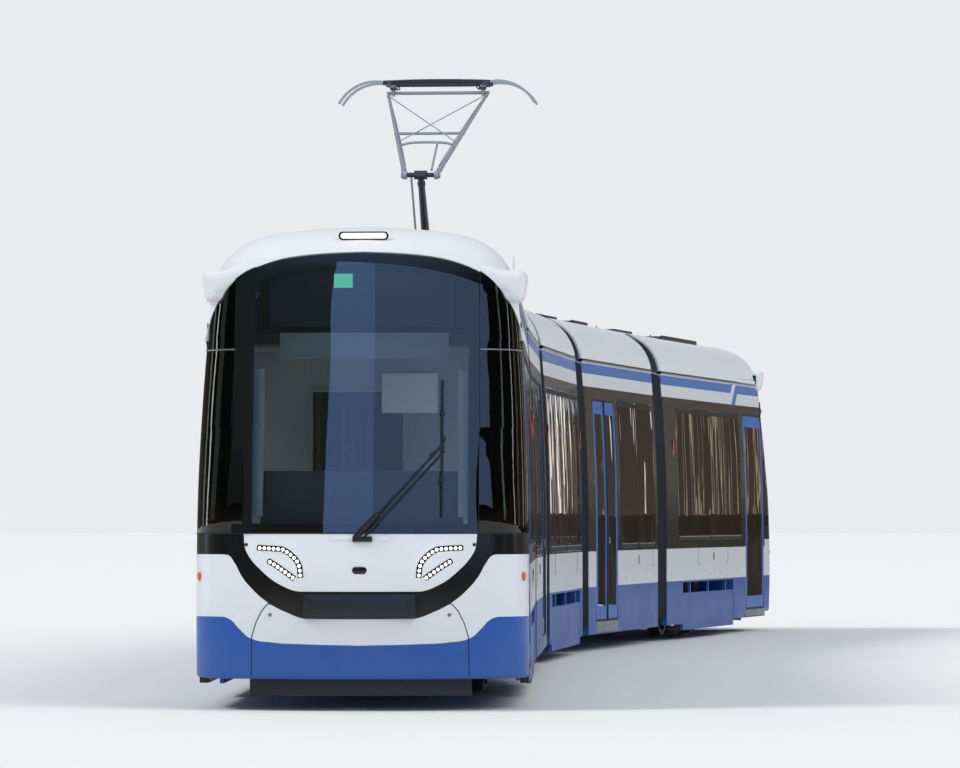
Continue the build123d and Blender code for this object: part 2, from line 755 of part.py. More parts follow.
def leaves_of(doors, count):
    """Each door opening split into its leaves, with a gap at their edges."""
    leaves = []
    for start, end, low, high in doors:
        width = (end - start - DOOR_GAP * (count + 1)) / count
        for index in range(count):
            edge = start + DOOR_GAP + index * (width + DOOR_GAP)
            leaves.append((edge, edge + width, low + DOOR_GAP, high - SEAT))
    return leaves


CAB_LEAVES = leaves_of(CAB_DOORS, 1)
SALOON_LEAVES = leaves_of(SALOON_DOORS, 2)
CAB_COVER = (CAB_BOGIE_Y - COVER_LENGTH / 2, CAB_BOGIE_Y + COVER_LENGTH / 2)
CENTRE_COVER = (CENTRE_BOGIE_Y - COVER_LENGTH / 2, CENTRE_BOGIE_Y + COVER_LENGTH / 2)

# Seats. Columns: y, direction that the seat faces, height that it stands on
CAB_SEAT_ROWS = ((3600, 1, BOX_TOP), (4700, -1, BOX_TOP), (4900, 1, BOX_TOP), (6000, -1, BOX_TOP))
SALOON_SEAT_ROWS = ((400, 1, FLOOR_Z), (1600, -1, FLOOR_Z))
CENTRE_SEAT_ROWS = ((700, 1, BOX_TOP), (1850, -1, BOX_TOP), (2000, 1, BOX_TOP), (3150, -1, BOX_TOP))

# Equipment cases. Columns: start, end, half width, height
CAB_UNITS = ((2500, 4900, 690, 400), (5050, 7250, 640, 430))
SALOON_UNITS = ((300, 2000, 640, 420), (2200, 4000, 600, 380))
CENTRE_UNITS = ((2350, 3600, 640, 400),)

# Jack pads' places along the cab and centre sections
CAB_JACKS = (2960, 6620)
CENTRE_JACKS = (150, CENTRE_LENGTH - 150)

cab_shell = shell(
    NOSE_BACK, CAB_LENGTH, NOSE_BACK - 1, CAB_LENGTH - END_WALL, ((CAB_LENGTH - END_WALL, CAB_LENGTH),),
    CAB_BOGIE_Y, CAB_WINDOWS, CAB_DOORS, CAB_COVER, CAB_JACKS,
)
with BuildPart() as cab_body:
    add(cab_shell.part)
    tongue_end(CAB_LENGTH, 1)

saloon_shell = shell(
    0, SALOON_LENGTH, END_WALL, SALOON_LENGTH - END_WALL, ((0, SALOON_LENGTH),),
    None, SALOON_WINDOWS, SALOON_DOORS, None, (),
)
with BuildPart() as saloon_body:
    add(saloon_shell.part)
    fork_end(0, -1)
    tongue_end(SALOON_LENGTH, 1)

centre_shell = shell(
    0, CENTRE_LENGTH, END_WALL, CENTRE_LENGTH - END_WALL,
    ((0, END_WALL), (CENTRE_LENGTH - END_WALL, CENTRE_LENGTH)),
    CENTRE_BOGIE_Y, CENTRE_WINDOWS, (), CENTRE_COVER, CENTRE_JACKS,
)
with BuildPart() as centre_body:
    add(centre_shell.part)
    fork_end(0, -1)
    fork_end(CENTRE_LENGTH, 1)

with BuildPart() as nose:
    add(cab_nose().part)
    add(cab_pillars().part)

with BuildPart() as cab_side_glass:
    add(side_glass(CAB_WINDOWS, CAB_LEAVES).part)
    add(cab_glass(WINDSCREEN_HALF + SEAM, HALF_WIDTH + 100, FRONT_GLASS_LOW).part)

# Pantograph, modelled where it stands on the centre section
KNEE_Y = PANTOGRAPH_Y - LOWER_ARM * cos(radians(LOWER_ANGLE))
KNEE_Z = PANTOGRAPH_Z + LOWER_ARM * sin(radians(LOWER_ANGLE))
APEX_Y = KNEE_Y + UPPER_ARM * cos(radians(UPPER_ANGLE))
APEX_Z = KNEE_Z + UPPER_ARM * sin(radians(UPPER_ANGLE))
BASE_HALF = 500
BASE_TUBE = 35
CROSS_TUBE = 30
BASE_Z = 3300
# Insulators under the base. Columns: radius, low, high
INSULATOR_RINGS = (
    (60, ROOF_Z + SEAT, ROOF_Z + 60),
    (22, ROOF_Z + 60, BASE_Z),
    (62, ROOF_Z + 100, ROOF_Z + 130),
    (62, ROOF_Z + 160, ROOF_Z + 190),
)
BEARING_X = 190
BEARING_PLATE = 24
MAIN_SHAFT = 30
MAIN_HUB = 55
MAIN_HUB_HALF = 90
ARM_ROOT = 52
ARM_TIP = 30
KNEE_HUB = 42
KNEE_SHAFT = 22
KNEE_EYE = 40
KNEE_EYE_X = 150
SIDE_TUBE = 24
SIDE_TUBE_TIP = 14
APEX_X = 490
APEX_RADIUS = 17
BRACE_RADIUS = 14
BRACE_HALF = 320
ROD_X = -110
ROD_Y = PANTOGRAPH_Y + 130
ROD_Z = PANTOGRAPH_Z + 32
ROD_RADIUS = 11
ROD_EYE = 24
ROD_PIN = 9
ROD_PLATE = 12
ROD_PLATE_X = ROD_X - 32
HEAD_BRACKET = 440
HEAD_RISE = 110
STRIP_HALF_WIDTH = 20
STRIP_DEPTH = 35
HORN_WIDTH = 24


def tube(start, end, radius, end_radius=None):
    """Round bar between two points, tapered if it has an end radius."""
    run = Vector(*end) - Vector(*start)
    from_start = (Align.CENTER, Align.CENTER, Align.MIN)
    with Locations(Plane(origin=start, z_dir=run).location):
        if end_radius is None:
            Cylinder(radius, run.length, align=from_start)
        else:
            Cone(radius, end_radius, run.length, align=from_start)


def cross_tube(y, z, half, radius, mode=Mode.ADD):
    """Round bar across the tram."""
    with BuildSketch(Plane.YZ.offset(-half)) as circle:
        with Locations((y, z)):
            Circle(radius)
    extrude(circle.sketch, amount=2 * half, mode=mode)


with BuildPart() as pantograph_base:
    base_y0 = PANTOGRAPH_Y - 250
    base_y1 = PANTOGRAPH_Y + 1250
    for x in (-BASE_HALF, BASE_HALF):
        tube((x, base_y0 - 60, BASE_Z), (x, base_y1 + 60, BASE_Z), BASE_TUBE)
        for y in (base_y0, base_y1):
            for radius, low, high in INSULATOR_RINGS:
                with BuildSketch(Plane.XY.offset(low)):
                    with Locations((x, y)):
                        Circle(radius)
                extrude(amount=high - low)
    for y in (base_y0, PANTOGRAPH_Y, base_y1):
        cross_tube(y, BASE_Z, BASE_HALF, CROSS_TUBE)
    for x in (-BEARING_X, BEARING_X):
        with BuildSketch(Plane.YZ.offset(x - BEARING_PLATE / 2)):
            with BuildLine():
                Polyline(
                    (PANTOGRAPH_Y - 130, BASE_Z), (PANTOGRAPH_Y + 130, BASE_Z),
                    (PANTOGRAPH_Y + 45, PANTOGRAPH_Z + 50), (PANTOGRAPH_Y - 45, PANTOGRAPH_Z + 50),
                    close=True,
                )
            make_face()
            with Locations((PANTOGRAPH_Y, PANTOGRAPH_Z)):
                Circle(MAIN_SHAFT + PIN_CLEARANCE, mode=Mode.SUBTRACT)
        extrude(amount=BEARING_PLATE)
    with BuildSketch(Plane.YZ.offset(ROD_PLATE_X)):
        with BuildLine():
            Polyline(
                (PANTOGRAPH_Y - 10, BASE_Z), (PANTOGRAPH_Y + 170, BASE_Z),
                (ROD_Y + 30, ROD_Z), (ROD_Y, ROD_Z + 28), (ROD_Y - 28, ROD_Z),
                close=True,
            )
        make_face()
    extrude(amount=ROD_PLATE)
    with BuildSketch(Plane.YZ.offset(ROD_PLATE_X)):
        with Locations((ROD_Y, ROD_Z)):
            Circle(ROD_PIN)
    extrude(amount=50)

with BuildPart() as lower_arm:
    cross_tube(PANTOGRAPH_Y, PANTOGRAPH_Z, BEARING_X + 15, MAIN_SHAFT)
    cross_tube(PANTOGRAPH_Y, PANTOGRAPH_Z, MAIN_HUB_HALF, MAIN_HUB)
    tube((0, PANTOGRAPH_Y, PANTOGRAPH_Z), (0, KNEE_Y, KNEE_Z), ARM_ROOT, ARM_TIP)
    cross_tube(KNEE_Y, KNEE_Z, 60, KNEE_HUB)
    cross_tube(KNEE_Y, KNEE_Z, KNEE_EYE_X + 25, KNEE_SHAFT)

with BuildPart() as upper_arm:
    for side in (1, -1):
        tube((side * KNEE_EYE_X, KNEE_Y, KNEE_Z), (side * APEX_X, APEX_Y, APEX_Z), SIDE_TUBE, SIDE_TUBE_TIP)
        with BuildSketch(Plane.YZ.offset(side * KNEE_EYE_X - 20)):
            with Locations((KNEE_Y, KNEE_Z)):
                Circle(KNEE_EYE)
        extrude(amount=40)
    cross_tube((KNEE_Y + APEX_Y) / 2, (KNEE_Z + APEX_Z) / 2, BRACE_HALF, BRACE_RADIUS)
    cross_tube(APEX_Y, APEX_Z, APEX_X + 12, APEX_RADIUS)
    cross_tube(KNEE_Y, KNEE_Z, KNEE_EYE_X + 50, KNEE_SHAFT + PIN_CLEARANCE, Mode.SUBTRACT)

with BuildPart() as coupling_rod:
    tube((ROD_X, ROD_Y, ROD_Z), (ROD_X, KNEE_Y + 150, KNEE_Z + 30), ROD_RADIUS)
    with BuildSketch(Plane.YZ.offset(ROD_X - 13)):
        with Locations((ROD_Y, ROD_Z)):
            Circle(ROD_EYE)
    extrude(amount=26)
    with BuildSketch(Plane.YZ.offset(ROD_X - 13)):
        with Locations((ROD_Y, ROD_Z)):
            Circle(ROD_PIN + PIN_CLEARANCE)
    extrude(amount=26, mode=Mode.SUBTRACT)

with BuildPart() as pantograph_head:
    head_z = APEX_Z + HEAD_RISE
    for y in (APEX_Y - STRIP_SPACING / 2, APEX_Y + STRIP_SPACING / 2):
        foot_z = head_z - STRIP_DEPTH
        with BuildSketch(at_y(y - STRIP_HALF_WIDTH)):
            with BuildLine():
                ThreePointArc((-STRIP_HALF, head_z), (0, head_z + 12), (STRIP_HALF, head_z))
                Polyline(
                    (STRIP_HALF, head_z), (STRIP_HALF, foot_z), (-STRIP_HALF, foot_z), (-STRIP_HALF, head_z),
                )
            make_face()
        extrude(amount=-2 * STRIP_HALF_WIDTH)
        for side in (1, -1):
            root = (side * (STRIP_HALF - 20), head_z - STRIP_DEPTH / 2)
            tip = (side * HEAD_HALF, head_z - 220)
            with BuildSketch(at_y(y - HORN_WIDTH / 2)):
                with BuildLine() as horn:
                    ThreePointArc(root, (side * 800, head_z - 60), tip)
                trace(horn.line, line_width=HORN_WIDTH)
            extrude(amount=-HORN_WIDTH)
    for side in (1, -1):
        x = side * HEAD_BRACKET
        strips = (APEX_Y - STRIP_SPACING / 2, APEX_Y + STRIP_SPACING / 2)
        block(x - 15, x + 15, *strips, head_z - 60, head_z - 20)
        block(x - 15, x + 15, APEX_Y - 30, APEX_Y + 30, APEX_Z - 30, head_z - 40)
    cross_tube(APEX_Y, APEX_Z, HEAD_BRACKET + 16, APEX_RADIUS + PIN_CLEARANCE, Mode.SUBTRACT)


def bellows(bend):
    """Folded tunnel between two sections that stand at an angle."""
    half = BELLOWS_GAP / 2 - SEAT
    with BuildPart() as tunnel:
        full_section(SKIRT_Z + 10, EAVES_Z - 10, 35, -BELLOWS_GAP, BELLOWS_GAP)
        full_section(0, EAVES_Z - 70, 95, -BELLOWS_GAP, BELLOWS_GAP, Mode.SUBTRACT)
        for direction in (1, -1):
            turn = radians(bend / 2)
            normal = Vector(sin(turn), direction * cos(turn), 0)
            split(bisect_by=Plane(origin=normal * half, z_dir=normal), keep=Keep.BOTTOM)
    return tunnel


# Where each section's frame and each pivot lie. A heading is counted from +Y towards +X.
def ahead(point, heading, distance):
    return (point[0] + distance * sin(radians(heading)), point[1] + distance * cos(radians(heading)))


def facing_back(point, heading):
    """Frame whose +Y runs along the heading."""
    return Location((point[0], point[1], 0), (0, 0, -heading))


front_inner = (0, -CENTRE_LENGTH / 2 - PIVOT)
rear_inner = (0, CENTRE_LENGTH / 2 + PIVOT)
front_heading = -FRONT_INNER_BEND
rear_heading = REAR_INNER_BEND
front_outer = ahead(front_inner, front_heading, -SALOON_LENGTH - 2 * PIVOT)
rear_outer = ahead(rear_inner, rear_heading, SALOON_LENGTH + 2 * PIVOT)
front_cab_heading = front_heading - FRONT_OUTER_BEND
rear_cab_heading = rear_heading + REAR_OUTER_BEND

places = {
    "centre": facing_back((0, -CENTRE_LENGTH / 2), 0),
    "front_saloon": facing_back(ahead(front_inner, front_heading, -PIVOT - SALOON_LENGTH), front_heading),
    "rear_saloon": facing_back(ahead(rear_inner, rear_heading, PIVOT + SALOON_LENGTH), rear_heading + 180),
    "front_cab": facing_back(ahead(front_outer, front_cab_heading, -PIVOT - CAB_LENGTH), front_cab_heading),
    "rear_cab": facing_back(ahead(rear_outer, rear_cab_heading, PIVOT + CAB_LENGTH), rear_cab_heading + 180),
}

cab_pieces = {
    "shell": cab_body,
    "nose": nose,
    "hood": cab_hood(),
    "windscreen": cab_glass(0, WINDSCREEN_HALF, FRONT_GLASS_LOW),
    "lamps": cab_lamps(),
    "wiper": cab_wiper(),
    "side_glass": cab_side_glass,
    "doors": door_leaves(CAB_LEAVES),
    "bogie_covers": bogie_covers(*CAB_COVER),
    "interior": cab_interior(),
    "seats": cab_seats(CAB_SEAT_ROWS),
    "life_guard": life_guard(),
    "bogie_frame": bogie_frame(CAB_BOGIE_Y),
    "wheelset_1": wheelset(CAB_BOGIE_Y - WHEELBASE / 2),
    "wheelset_2": wheelset(CAB_BOGIE_Y + WHEELBASE / 2),
    "roof": roof_fittings(HOOD_BACK + SEAM, CAB_LENGTH, CAB_UNITS),
}

saloon_pieces = {
    "shell": saloon_body,
    "side_glass": side_glass(SALOON_WINDOWS, SALOON_LEAVES),
    "doors": door_leaves(SALOON_LEAVES),
    "seats": saloon_seats(SALOON_SEAT_ROWS),
    "roof": roof_fittings(0, SALOON_LENGTH, SALOON_UNITS),
}
centre_pieces = {
    "shell": centre_body,
    "side_glass": side_glass(CENTRE_WINDOWS, ()),
    "bogie_covers": bogie_covers(*CENTRE_COVER),
    "seats": saloon_seats(CENTRE_SEAT_ROWS),
    "bogie_frame": bogie_frame(CENTRE_BOGIE_Y),
    "wheelset_1": wheelset(CENTRE_BOGIE_Y - WHEELBASE / 2),
    "wheelset_2": wheelset(CENTRE_BOGIE_Y + WHEELBASE / 2),
    "roof": roof_fittings(0, CENTRE_LENGTH, CENTRE_UNITS),
}
SECTIONS = (
    ("centre", centre_pieces),
    ("front_saloon", saloon_pieces),
    ("rear_saloon", saloon_pieces),
    ("front_cab", cab_pieces),
    ("rear_cab", cab_pieces),
)
for section, pieces in SECTIONS:
    for name, piece in pieces.items():
        placed = places[section] * piece.part
        placed.label = f"{section}_{name}"
        export_step(placed, f"parts/{placed.label}.step", write_pcurves=False)

# Columns: name, pivot, mean heading, bend
BELLOWS = (
    ("bellows_front_inner", front_inner, front_heading / 2, FRONT_INNER_BEND),
    ("bellows_front_outer", front_outer, (front_heading + front_cab_heading) / 2, FRONT_OUTER_BEND),
    ("bellows_rear_inner", rear_inner, rear_heading / 2, REAR_INNER_BEND),
    ("bellows_rear_outer", rear_outer, (rear_heading + rear_cab_heading) / 2, REAR_OUTER_BEND),
)
for name, pivot, heading, bend in BELLOWS:
    placed = facing_back(pivot, heading) * bellows(bend).part
    placed.label = name
    export_step(placed, f"parts/{name}.step")

PANTOGRAPH = (
    ("pantograph_base", pantograph_base),
    ("pantograph_lower_arm", lower_arm),
    ("pantograph_upper_arm", upper_arm),
    ("pantograph_coupling_rod", coupling_rod),
    ("pantograph_head", pantograph_head),
)
for name, piece in PANTOGRAPH:
    piece.part.label = name
    export_step(piece.part, f"parts/{name}.step")
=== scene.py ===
"""Looks of a five-section low-floor tram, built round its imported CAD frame. Lengths are in metres."""

from math import asin, cos, dist, hypot, pi, radians, sin, sqrt

import bmesh
import bpy
from mathutils import Matrix, Vector


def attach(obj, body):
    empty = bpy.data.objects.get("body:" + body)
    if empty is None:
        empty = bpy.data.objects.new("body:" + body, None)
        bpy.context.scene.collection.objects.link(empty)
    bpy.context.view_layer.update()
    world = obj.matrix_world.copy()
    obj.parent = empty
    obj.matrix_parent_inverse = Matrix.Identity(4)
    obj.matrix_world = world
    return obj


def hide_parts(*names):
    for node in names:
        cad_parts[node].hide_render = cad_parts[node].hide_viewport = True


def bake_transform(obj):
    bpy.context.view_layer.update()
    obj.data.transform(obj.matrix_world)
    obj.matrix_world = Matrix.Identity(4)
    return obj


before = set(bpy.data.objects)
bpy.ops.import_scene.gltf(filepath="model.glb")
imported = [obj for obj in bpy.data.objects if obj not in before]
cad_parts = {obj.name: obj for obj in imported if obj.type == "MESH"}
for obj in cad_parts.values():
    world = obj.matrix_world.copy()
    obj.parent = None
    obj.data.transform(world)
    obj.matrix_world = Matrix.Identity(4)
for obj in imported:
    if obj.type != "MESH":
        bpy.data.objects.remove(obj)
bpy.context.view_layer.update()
bpy.ops.object.select_all(action="DESELECT")

# Where each section's own frame lies: x, y and the turn about Z in degrees. +Y runs inwards from the nose
SECTION_PLACES = {
    "centre": (0.0, -1.915, 0.0),
    "front_saloon": (0.32329, -7.00408, 3.87),
    "rear_saloon": (0.43829, 6.99491, -185.25),
    "front_cab": (0.97707, -15.02745, 4.69),
    "rear_cab": (1.39384, 14.98787, -186.88),
}
SECTIONS = {
    name: Matrix.Translation((x, y, 0)) @ Matrix.Rotation(radians(turn), 4, "Z")
    for name, (x, y, turn) in SECTION_PLACES.items()
}
CABS = ("front_cab", "rear_cab")
SALOONS = ("front_saloon", "rear_saloon")
CENTRE = ("centre",)
SIDES = (1, -1)

# Section lengths and heights
CAB_LENGTH = 7.43
SALOON_LENGTH = 4.48
CENTRE_LENGTH = 3.83
FLOOR_Z = 0.35
SEAT_BOX_Z = 0.72
BAND_LOW = 1.005
EAVES_Z = 2.955
CROWN_Z = 3.49

# Body side: straight up to the tumblehome's start, then one large arc
HALF_WIDTH = 1.2
TUMBLE_START = 1.1
EAVES_HALF = 1.123
TUMBLE_RADIUS = ((EAVES_Z - TUMBLE_START) ** 2 + (HALF_WIDTH - EAVES_HALF) ** 2) / (2 * (HALF_WIDTH - EAVES_HALF))


# Nodes of a material

def add(tree, kind, inputs=None, **settings):
    """Adds a node. An input takes a value or another node's output."""
    made = tree.nodes.new(kind)
    for name, value in settings.items():
        setattr(made, name, value)
    for socket, value in (inputs or {}).items():
        if isinstance(value, bpy.types.NodeSocket):
            tree.links.new(value, made.inputs[socket])
        else:
            made.inputs[socket].default_value = value
    return made


def sums(tree, operation, *values):
    """The output of a math node."""
    return add(tree, "ShaderNodeMath", dict(enumerate(values)), operation=operation).outputs[0]


def mixed(tree, factor, a, b):
    """The output of a colour mix."""
    made = add(tree, "ShaderNodeMix", {"Factor": factor, "A": a, "B": b}, data_type="RGBA")
    return made.outputs["Result"]


def linear(code):
    """An sRGB hex value as linear RGBA."""
    parts = [int(code[i:i + 2], 16) / 255 for i in (1, 3, 5)]
    return tuple(c / 12.92 if c <= 0.04045 else ((c + 0.055) / 1.055) ** 2.4 for c in parts) + (1.0,)


def start(name, **values):
    """A new material with its shader's own sockets set, and its object coordinates."""
    material = bpy.data.materials.new(name)
    material.use_nodes = True
    tree = material.node_tree
    shader = tree.nodes["Principled BSDF"]
    for socket, value in values.items():
        shader.inputs[socket.replace("_", " ")].default_value = value
    return material, tree, shader, add(tree, "ShaderNodeTexCoord").outputs["Object"]


def surface_grain(tree, shader, coords, scale, depth, stretch=(1, 1, 1), detail=3.0, **noise_values):
    """Fine bump from noise, its scale in cycles per metre and its depth in metres."""
    stretched = add(tree, "ShaderNodeMapping", {"Vector": coords, "Scale": stretch}).outputs[0]
    noise = add(tree, "ShaderNodeTexNoise", {"Vector": stretched, "Scale": scale, "Detail": detail, **noise_values})
    bump = add(tree, "ShaderNodeBump", {"Height": noise.outputs[0], "Distance": depth})
    tree.links.new(bump.outputs[0], shader.inputs["Normal"])


def tinted(name, code, other, scale, rough, rough_other, grain=400.0, depth=0.0003, **values):
    """A finish whose colour and gloss drift between two values over the surface."""
    material, tree, shader, coords = start(name, **values)
    noise = {"Vector": coords, "Scale": scale, "Detail": 6.0, "Roughness": 0.6}
    drift = add(tree, "ShaderNodeTexNoise", noise).outputs[0]
    tree.links.new(mixed(tree, drift, linear(code), linear(other)), shader.inputs["Base Color"])
    gloss = add(tree, "ShaderNodeMapRange", {
        "Value": drift, "From Min": 0.3, "From Max": 0.7, "To Min": rough, "To Max": rough_other,
    })
    tree.links.new(gloss.outputs[0], shader.inputs["Roughness"])
    surface_grain(tree, shader, coords, grain, depth)
    return material


# Finishes

WHITE = "#D9DDE2"
BLUE = "#0D50A2"
STRIPE_BLUE = "#3F70BC"
BAND_BLACK = "#0B0C0E"
SHADOW_BLACK = "#15171B"
ROAD_DUST = "#8A8378"
DUST = 0.25
STRIPE_SLOPE = 1.6


def local_axes(tree, coords, section):
    """X, Y and Z in a section's own frame, the distance from its centre line, and the stripe's slanting axis."""
    x, y, turn = SECTION_PLACES[section]
    place = {"Vector": coords, "Location": (x, y, 0), "Rotation": (0, 0, radians(turn))}
    turned_back = add(tree, "ShaderNodeMapping", place, vector_type="TEXTURE").outputs[0]
    split = add(tree, "ShaderNodeSeparateXYZ", {"Vector": turned_back}).outputs
    axes = {"x": split["X"], "y": split["Y"], "z": split["Z"], "across": sums(tree, "ABSOLUTE", split["X"])}
    axes["slant"] = sums(tree, "MULTIPLY_ADD", axes["z"], STRIPE_SLOPE, axes["y"])
    return axes


def zone(tree, axes, limits):
    """1 where every named axis lies between its low and high limit."""
    mask = None
    for axis, (low, high) in limits.items():
        for operation, limit in (("GREATER_THAN", low), ("LESS_THAN", high)):
            if limit is None:
                continue
            side = sums(tree, operation, axes[axis], limit)
            mask = side if mask is None else sums(tree, "MULTIPLY", mask, side)
    return mask


CURVE_SPAN = 1.25


def under_curve(tree, axes, points):
    """1 below a line of (distance from the centre line, height) points."""
    line = add(tree, "ShaderNodeFloatCurve", {"Value": sums(tree, "MULTIPLY", axes["across"], 1 / CURVE_SPAN)})
    curve = line.mapping.curves[0]
    while len(curve.points) < len(points):
        curve.points.new(0.5, 0.5)
    for point, (x, z) in zip(curve.points, points):
        point.location = (x / CURVE_SPAN, z / CURVE_SPAN)
        point.handle_type = "AUTO_CLAMPED"
    line.mapping.update()
    return sums(tree, "LESS_THAN", axes["z"], sums(tree, "MULTIPLY", line.outputs[0], CURVE_SPAN))


def coach_paint(name, section, layers):
    """Two-pack gloss coach paint, sprayed: slight orange peel, a clear sheen and road dust low down.

    Layers are (colour, limits) pairs, or (colour, function of the tree and axes) pairs, laid over white.
    """
    material, tree, shader, coords = start(name, Roughness=0.3, Specular_IOR_Level=0.25)
    axes = local_axes(tree, coords, section)
    colour = linear(WHITE)
    for code, rule in layers:
        mask = zone(tree, axes, rule) if isinstance(rule, dict) else rule(tree, axes)
        colour = mixed(tree, mask, colour, linear(code))
    low = add(tree, "ShaderNodeMapRange", {
        "Value": axes["z"], "From Min": 0.1, "From Max": 0.9, "To Min": DUST, "To Max": 0.03,
    }).outputs[0]
    noise = {"Vector": coords, "Scale": 2.2, "Detail": 8.0, "Roughness": 0.65}
    amount = sums(tree, "MULTIPLY", low, add(tree, "ShaderNodeTexNoise", noise).outputs[0])
    tree.links.new(mixed(tree, amount, colour, linear(ROAD_DUST)), shader.inputs["Base Color"])
    gloss = add(tree, "ShaderNodeMapRange", {"Value": amount, "From Max": 0.2, "To Min": 0.22, "To Max": 0.5})
    tree.links.new(gloss.outputs[0], shader.inputs["Roughness"])
    surface_grain(tree, shader, coords, 35.0, 0.0004)
    return material


BAND_TOP = 2.705
BLUE_TOP = 0.64
STRIPE_LOW = 2.84
STRIPE_HIGH = 2.945

# The cab front's painted borders. Columns: distance from the centre line, height
BLUE_EDGE = (
    (0, 0.442), (0.43, 0.452), (0.62, 0.462), (0.79, 0.495), (0.87, 0.565), (0.93, 0.625), (1.0, 0.645),
    (1.25, 0.645),
)
SMILE_OUTER = (
    (0, 0.63), (0.39, 0.632), (0.505, 0.67), (0.663, 0.752), (0.79, 0.863), (0.85, 0.94), (0.9, 1.03),
    (0.945, 1.083), (1.0, 1.09), (1.25, 1.09),
)
SMILE_INNER = (
    (0, 0.826), (0.405, 0.826), (0.555, 0.868), (0.72, 0.99), (0.8, 1.085), (0.828, 1.15), (0.84, 1.25),
    (1.25, 1.25),
)
SCREEN_HALF = 0.845


def above_curve(tree, axes, points):
    return sums(tree, "SUBTRACT", 1.0, under_curve(tree, axes, points))


def mask_panel(tree, axes):
    """1 on the white panel between the lamps."""
    over = above_curve(tree, axes, SMILE_INNER)
    return sums(tree, "MULTIPLY", over, sums(tree, "LESS_THAN", axes["across"], SCREEN_HALF))


def nose_paint(section):
    return coach_paint(f"{section}_nose_coach_paint", section, (
        (BLUE, lambda tree, axes: under_curve(tree, axes, BLUE_EDGE)),
        (BAND_BLACK, lambda tree, axes: above_curve(tree, axes, SMILE_OUTER)),
        (WHITE, mask_panel),
    ))


def shell_paint(section):
    layers = [(BAND_BLACK, {"z": (BAND_LOW, BAND_TOP)}), (BLUE, {"z": (None, BLUE_TOP)})]
    if section in CABS:
        layers += [
            (SHADOW_BLACK, {"z": (None, 0.2), "y": (None, 2.35)}),
            (STRIPE_BLUE, {"z": (STRIPE_LOW, STRIPE_HIGH), "y": (1.0, None)}),
            (STRIPE_BLUE, {"z": (STRIPE_HIGH - 0.01, STRIPE_HIGH + 0.06), "slant": (7.49, 7.63)}),
            (WHITE, {"z": (STRIPE_LOW, STRIPE_HIGH), "slant": (7.27, 7.49)}),
            (STRIPE_BLUE, {"z": (BAND_TOP, STRIPE_LOW + 0.01), "slant": (7.02, 7.27)}),
        ]
    else:
        layers.append((STRIPE_BLUE, {"z": (STRIPE_LOW, STRIPE_HIGH)}))
    return coach_paint(f"{section}_coach_paint", section, layers)


PAINT = {section: shell_paint(section) for section in SECTIONS}
NOSE_PAINT = {section: nose_paint(section) for section in CABS}

roof_paint = tinted("gelcoat_grp_roof", "#E2E5E8", "#D5D9DC", 1.3, 0.42, 0.55, 60.0, 0.0005)
door_paint = tinted(
    "blue_powder_coated_door", "#2C68B8", "#265EAA", 3.0, 0.3, 0.4, 300.0, 0.0002, Specular_IOR_Level=0.3,
)
black_gloss = tinted("black_gloss_acrylic", "#0B0C0E", "#121316", 4.0, 0.08, 0.16, 200.0, 0.0001)
seal_rubber = tinted("epdm_seal_rubber", "#141517", "#1C1D1F", 20.0, 0.55, 0.7, 900.0, 0.0004)
bellows_cloth = tinted("coated_bellows_cloth", "#17191D", "#23262B", 5.0, 0.6, 0.8, 700.0, 0.0006)
band_rubber = tinted("light_grey_roof_band", "#AEB4BE", "#9EA5B0", 3.0, 0.35, 0.5, 300.0, 0.0004)
bogie_paint = tinted("dusty_bogie_enamel", "#24262A", "#4A423A", 3.0, 0.5, 0.85, 120.0, 0.0008)
wheel_steel = tinted("rolled_wheel_steel", "#6B6560", "#4B423B", 6.0, 0.35, 0.65, 300.0, 0.0004, Metallic=0.8)
arm_steel = tinted("galvanised_arm_steel", "#3C4046", "#565B62", 7.0, 0.35, 0.55, 300.0, Metallic=0.6)
head_aluminium = tinted("anodised_aluminium", "#4E5258", "#6A6E74", 6.0, 0.3, 0.45, 300.0, 0.0002, Metallic=0.9)
carbon = tinted("carbon_contact_strip", "#1A1A1B", "#2A2828", 40.0, 0.4, 0.6, 900.0)
insulator = tinted("silicone_insulator", "#5A2F26", "#6B3A2E", 12.0, 0.35, 0.5)
moquette = tinted("seat_moquette", "#26406F", "#32558C", 160.0, 0.85, 0.95, 1200.0, 0.0012, Sheen_Weight=0.4)
laminate = tinted("grey_interior_laminate", "#8D9196", "#7F8388", 2.0, 0.4, 0.55)
floor_vinyl = tinted("flecked_floor_vinyl", "#4A4E55", "#5A5E64", 300.0, 0.6, 0.75)
dash_plastic = tinted("grained_dashboard_abs", "#2B2E33", "#33373D", 15.0, 0.5, 0.65, 700.0, 0.0005)
pole_yellow = tinted("yellow_powder_coat", "#D9A514", "#CC9710", 10.0, 0.3, 0.4)
bare_steel = tinted("brushed_stainless", "#9DA1A5", "#8B8F94", 30.0, 0.25, 0.4, 800.0, 0.0002, Metallic=1.0)
bumper_satin = tinted("satin_black_bumper", "#12141A", "#181A21", 5.0, 0.4, 0.5, 300.0)
frame_zinc = tinted("bright_galvanised_tube", "#B4B9C0", "#9BA1A8", 9.0, 0.35, 0.5, 300.0, 0.0002, Metallic=0.4)
trim_white = tinted("pale_cab_trim", "#DDE7EE", "#D0DAE2", 2.0, 0.45, 0.55)
amber = tinted("amber_lens", "#E2611B", "#D2520F", 40.0, 0.15, 0.25, Coat_Weight=0.6)
guard_grp = tinted("dark_deflector_board", "#15171D", "#22242B", 4.0, 0.45, 0.7, 100.0, 0.0006)
desk_grey = tinted("grey_desk_moulding", "#59616B", "#4F5760", 8.0, 0.5, 0.62, 500.0, 0.0004)
display_black = tinted("display_acrylic", "#2B3340", "#252C38", 8.0, 0.3, 0.4, 500.0, 0.0001)
blind_film = tinted("woven_sun_blind", "#B3BCC0", "#A2ABB0", 90.0, 0.6, 0.75, 900.0)
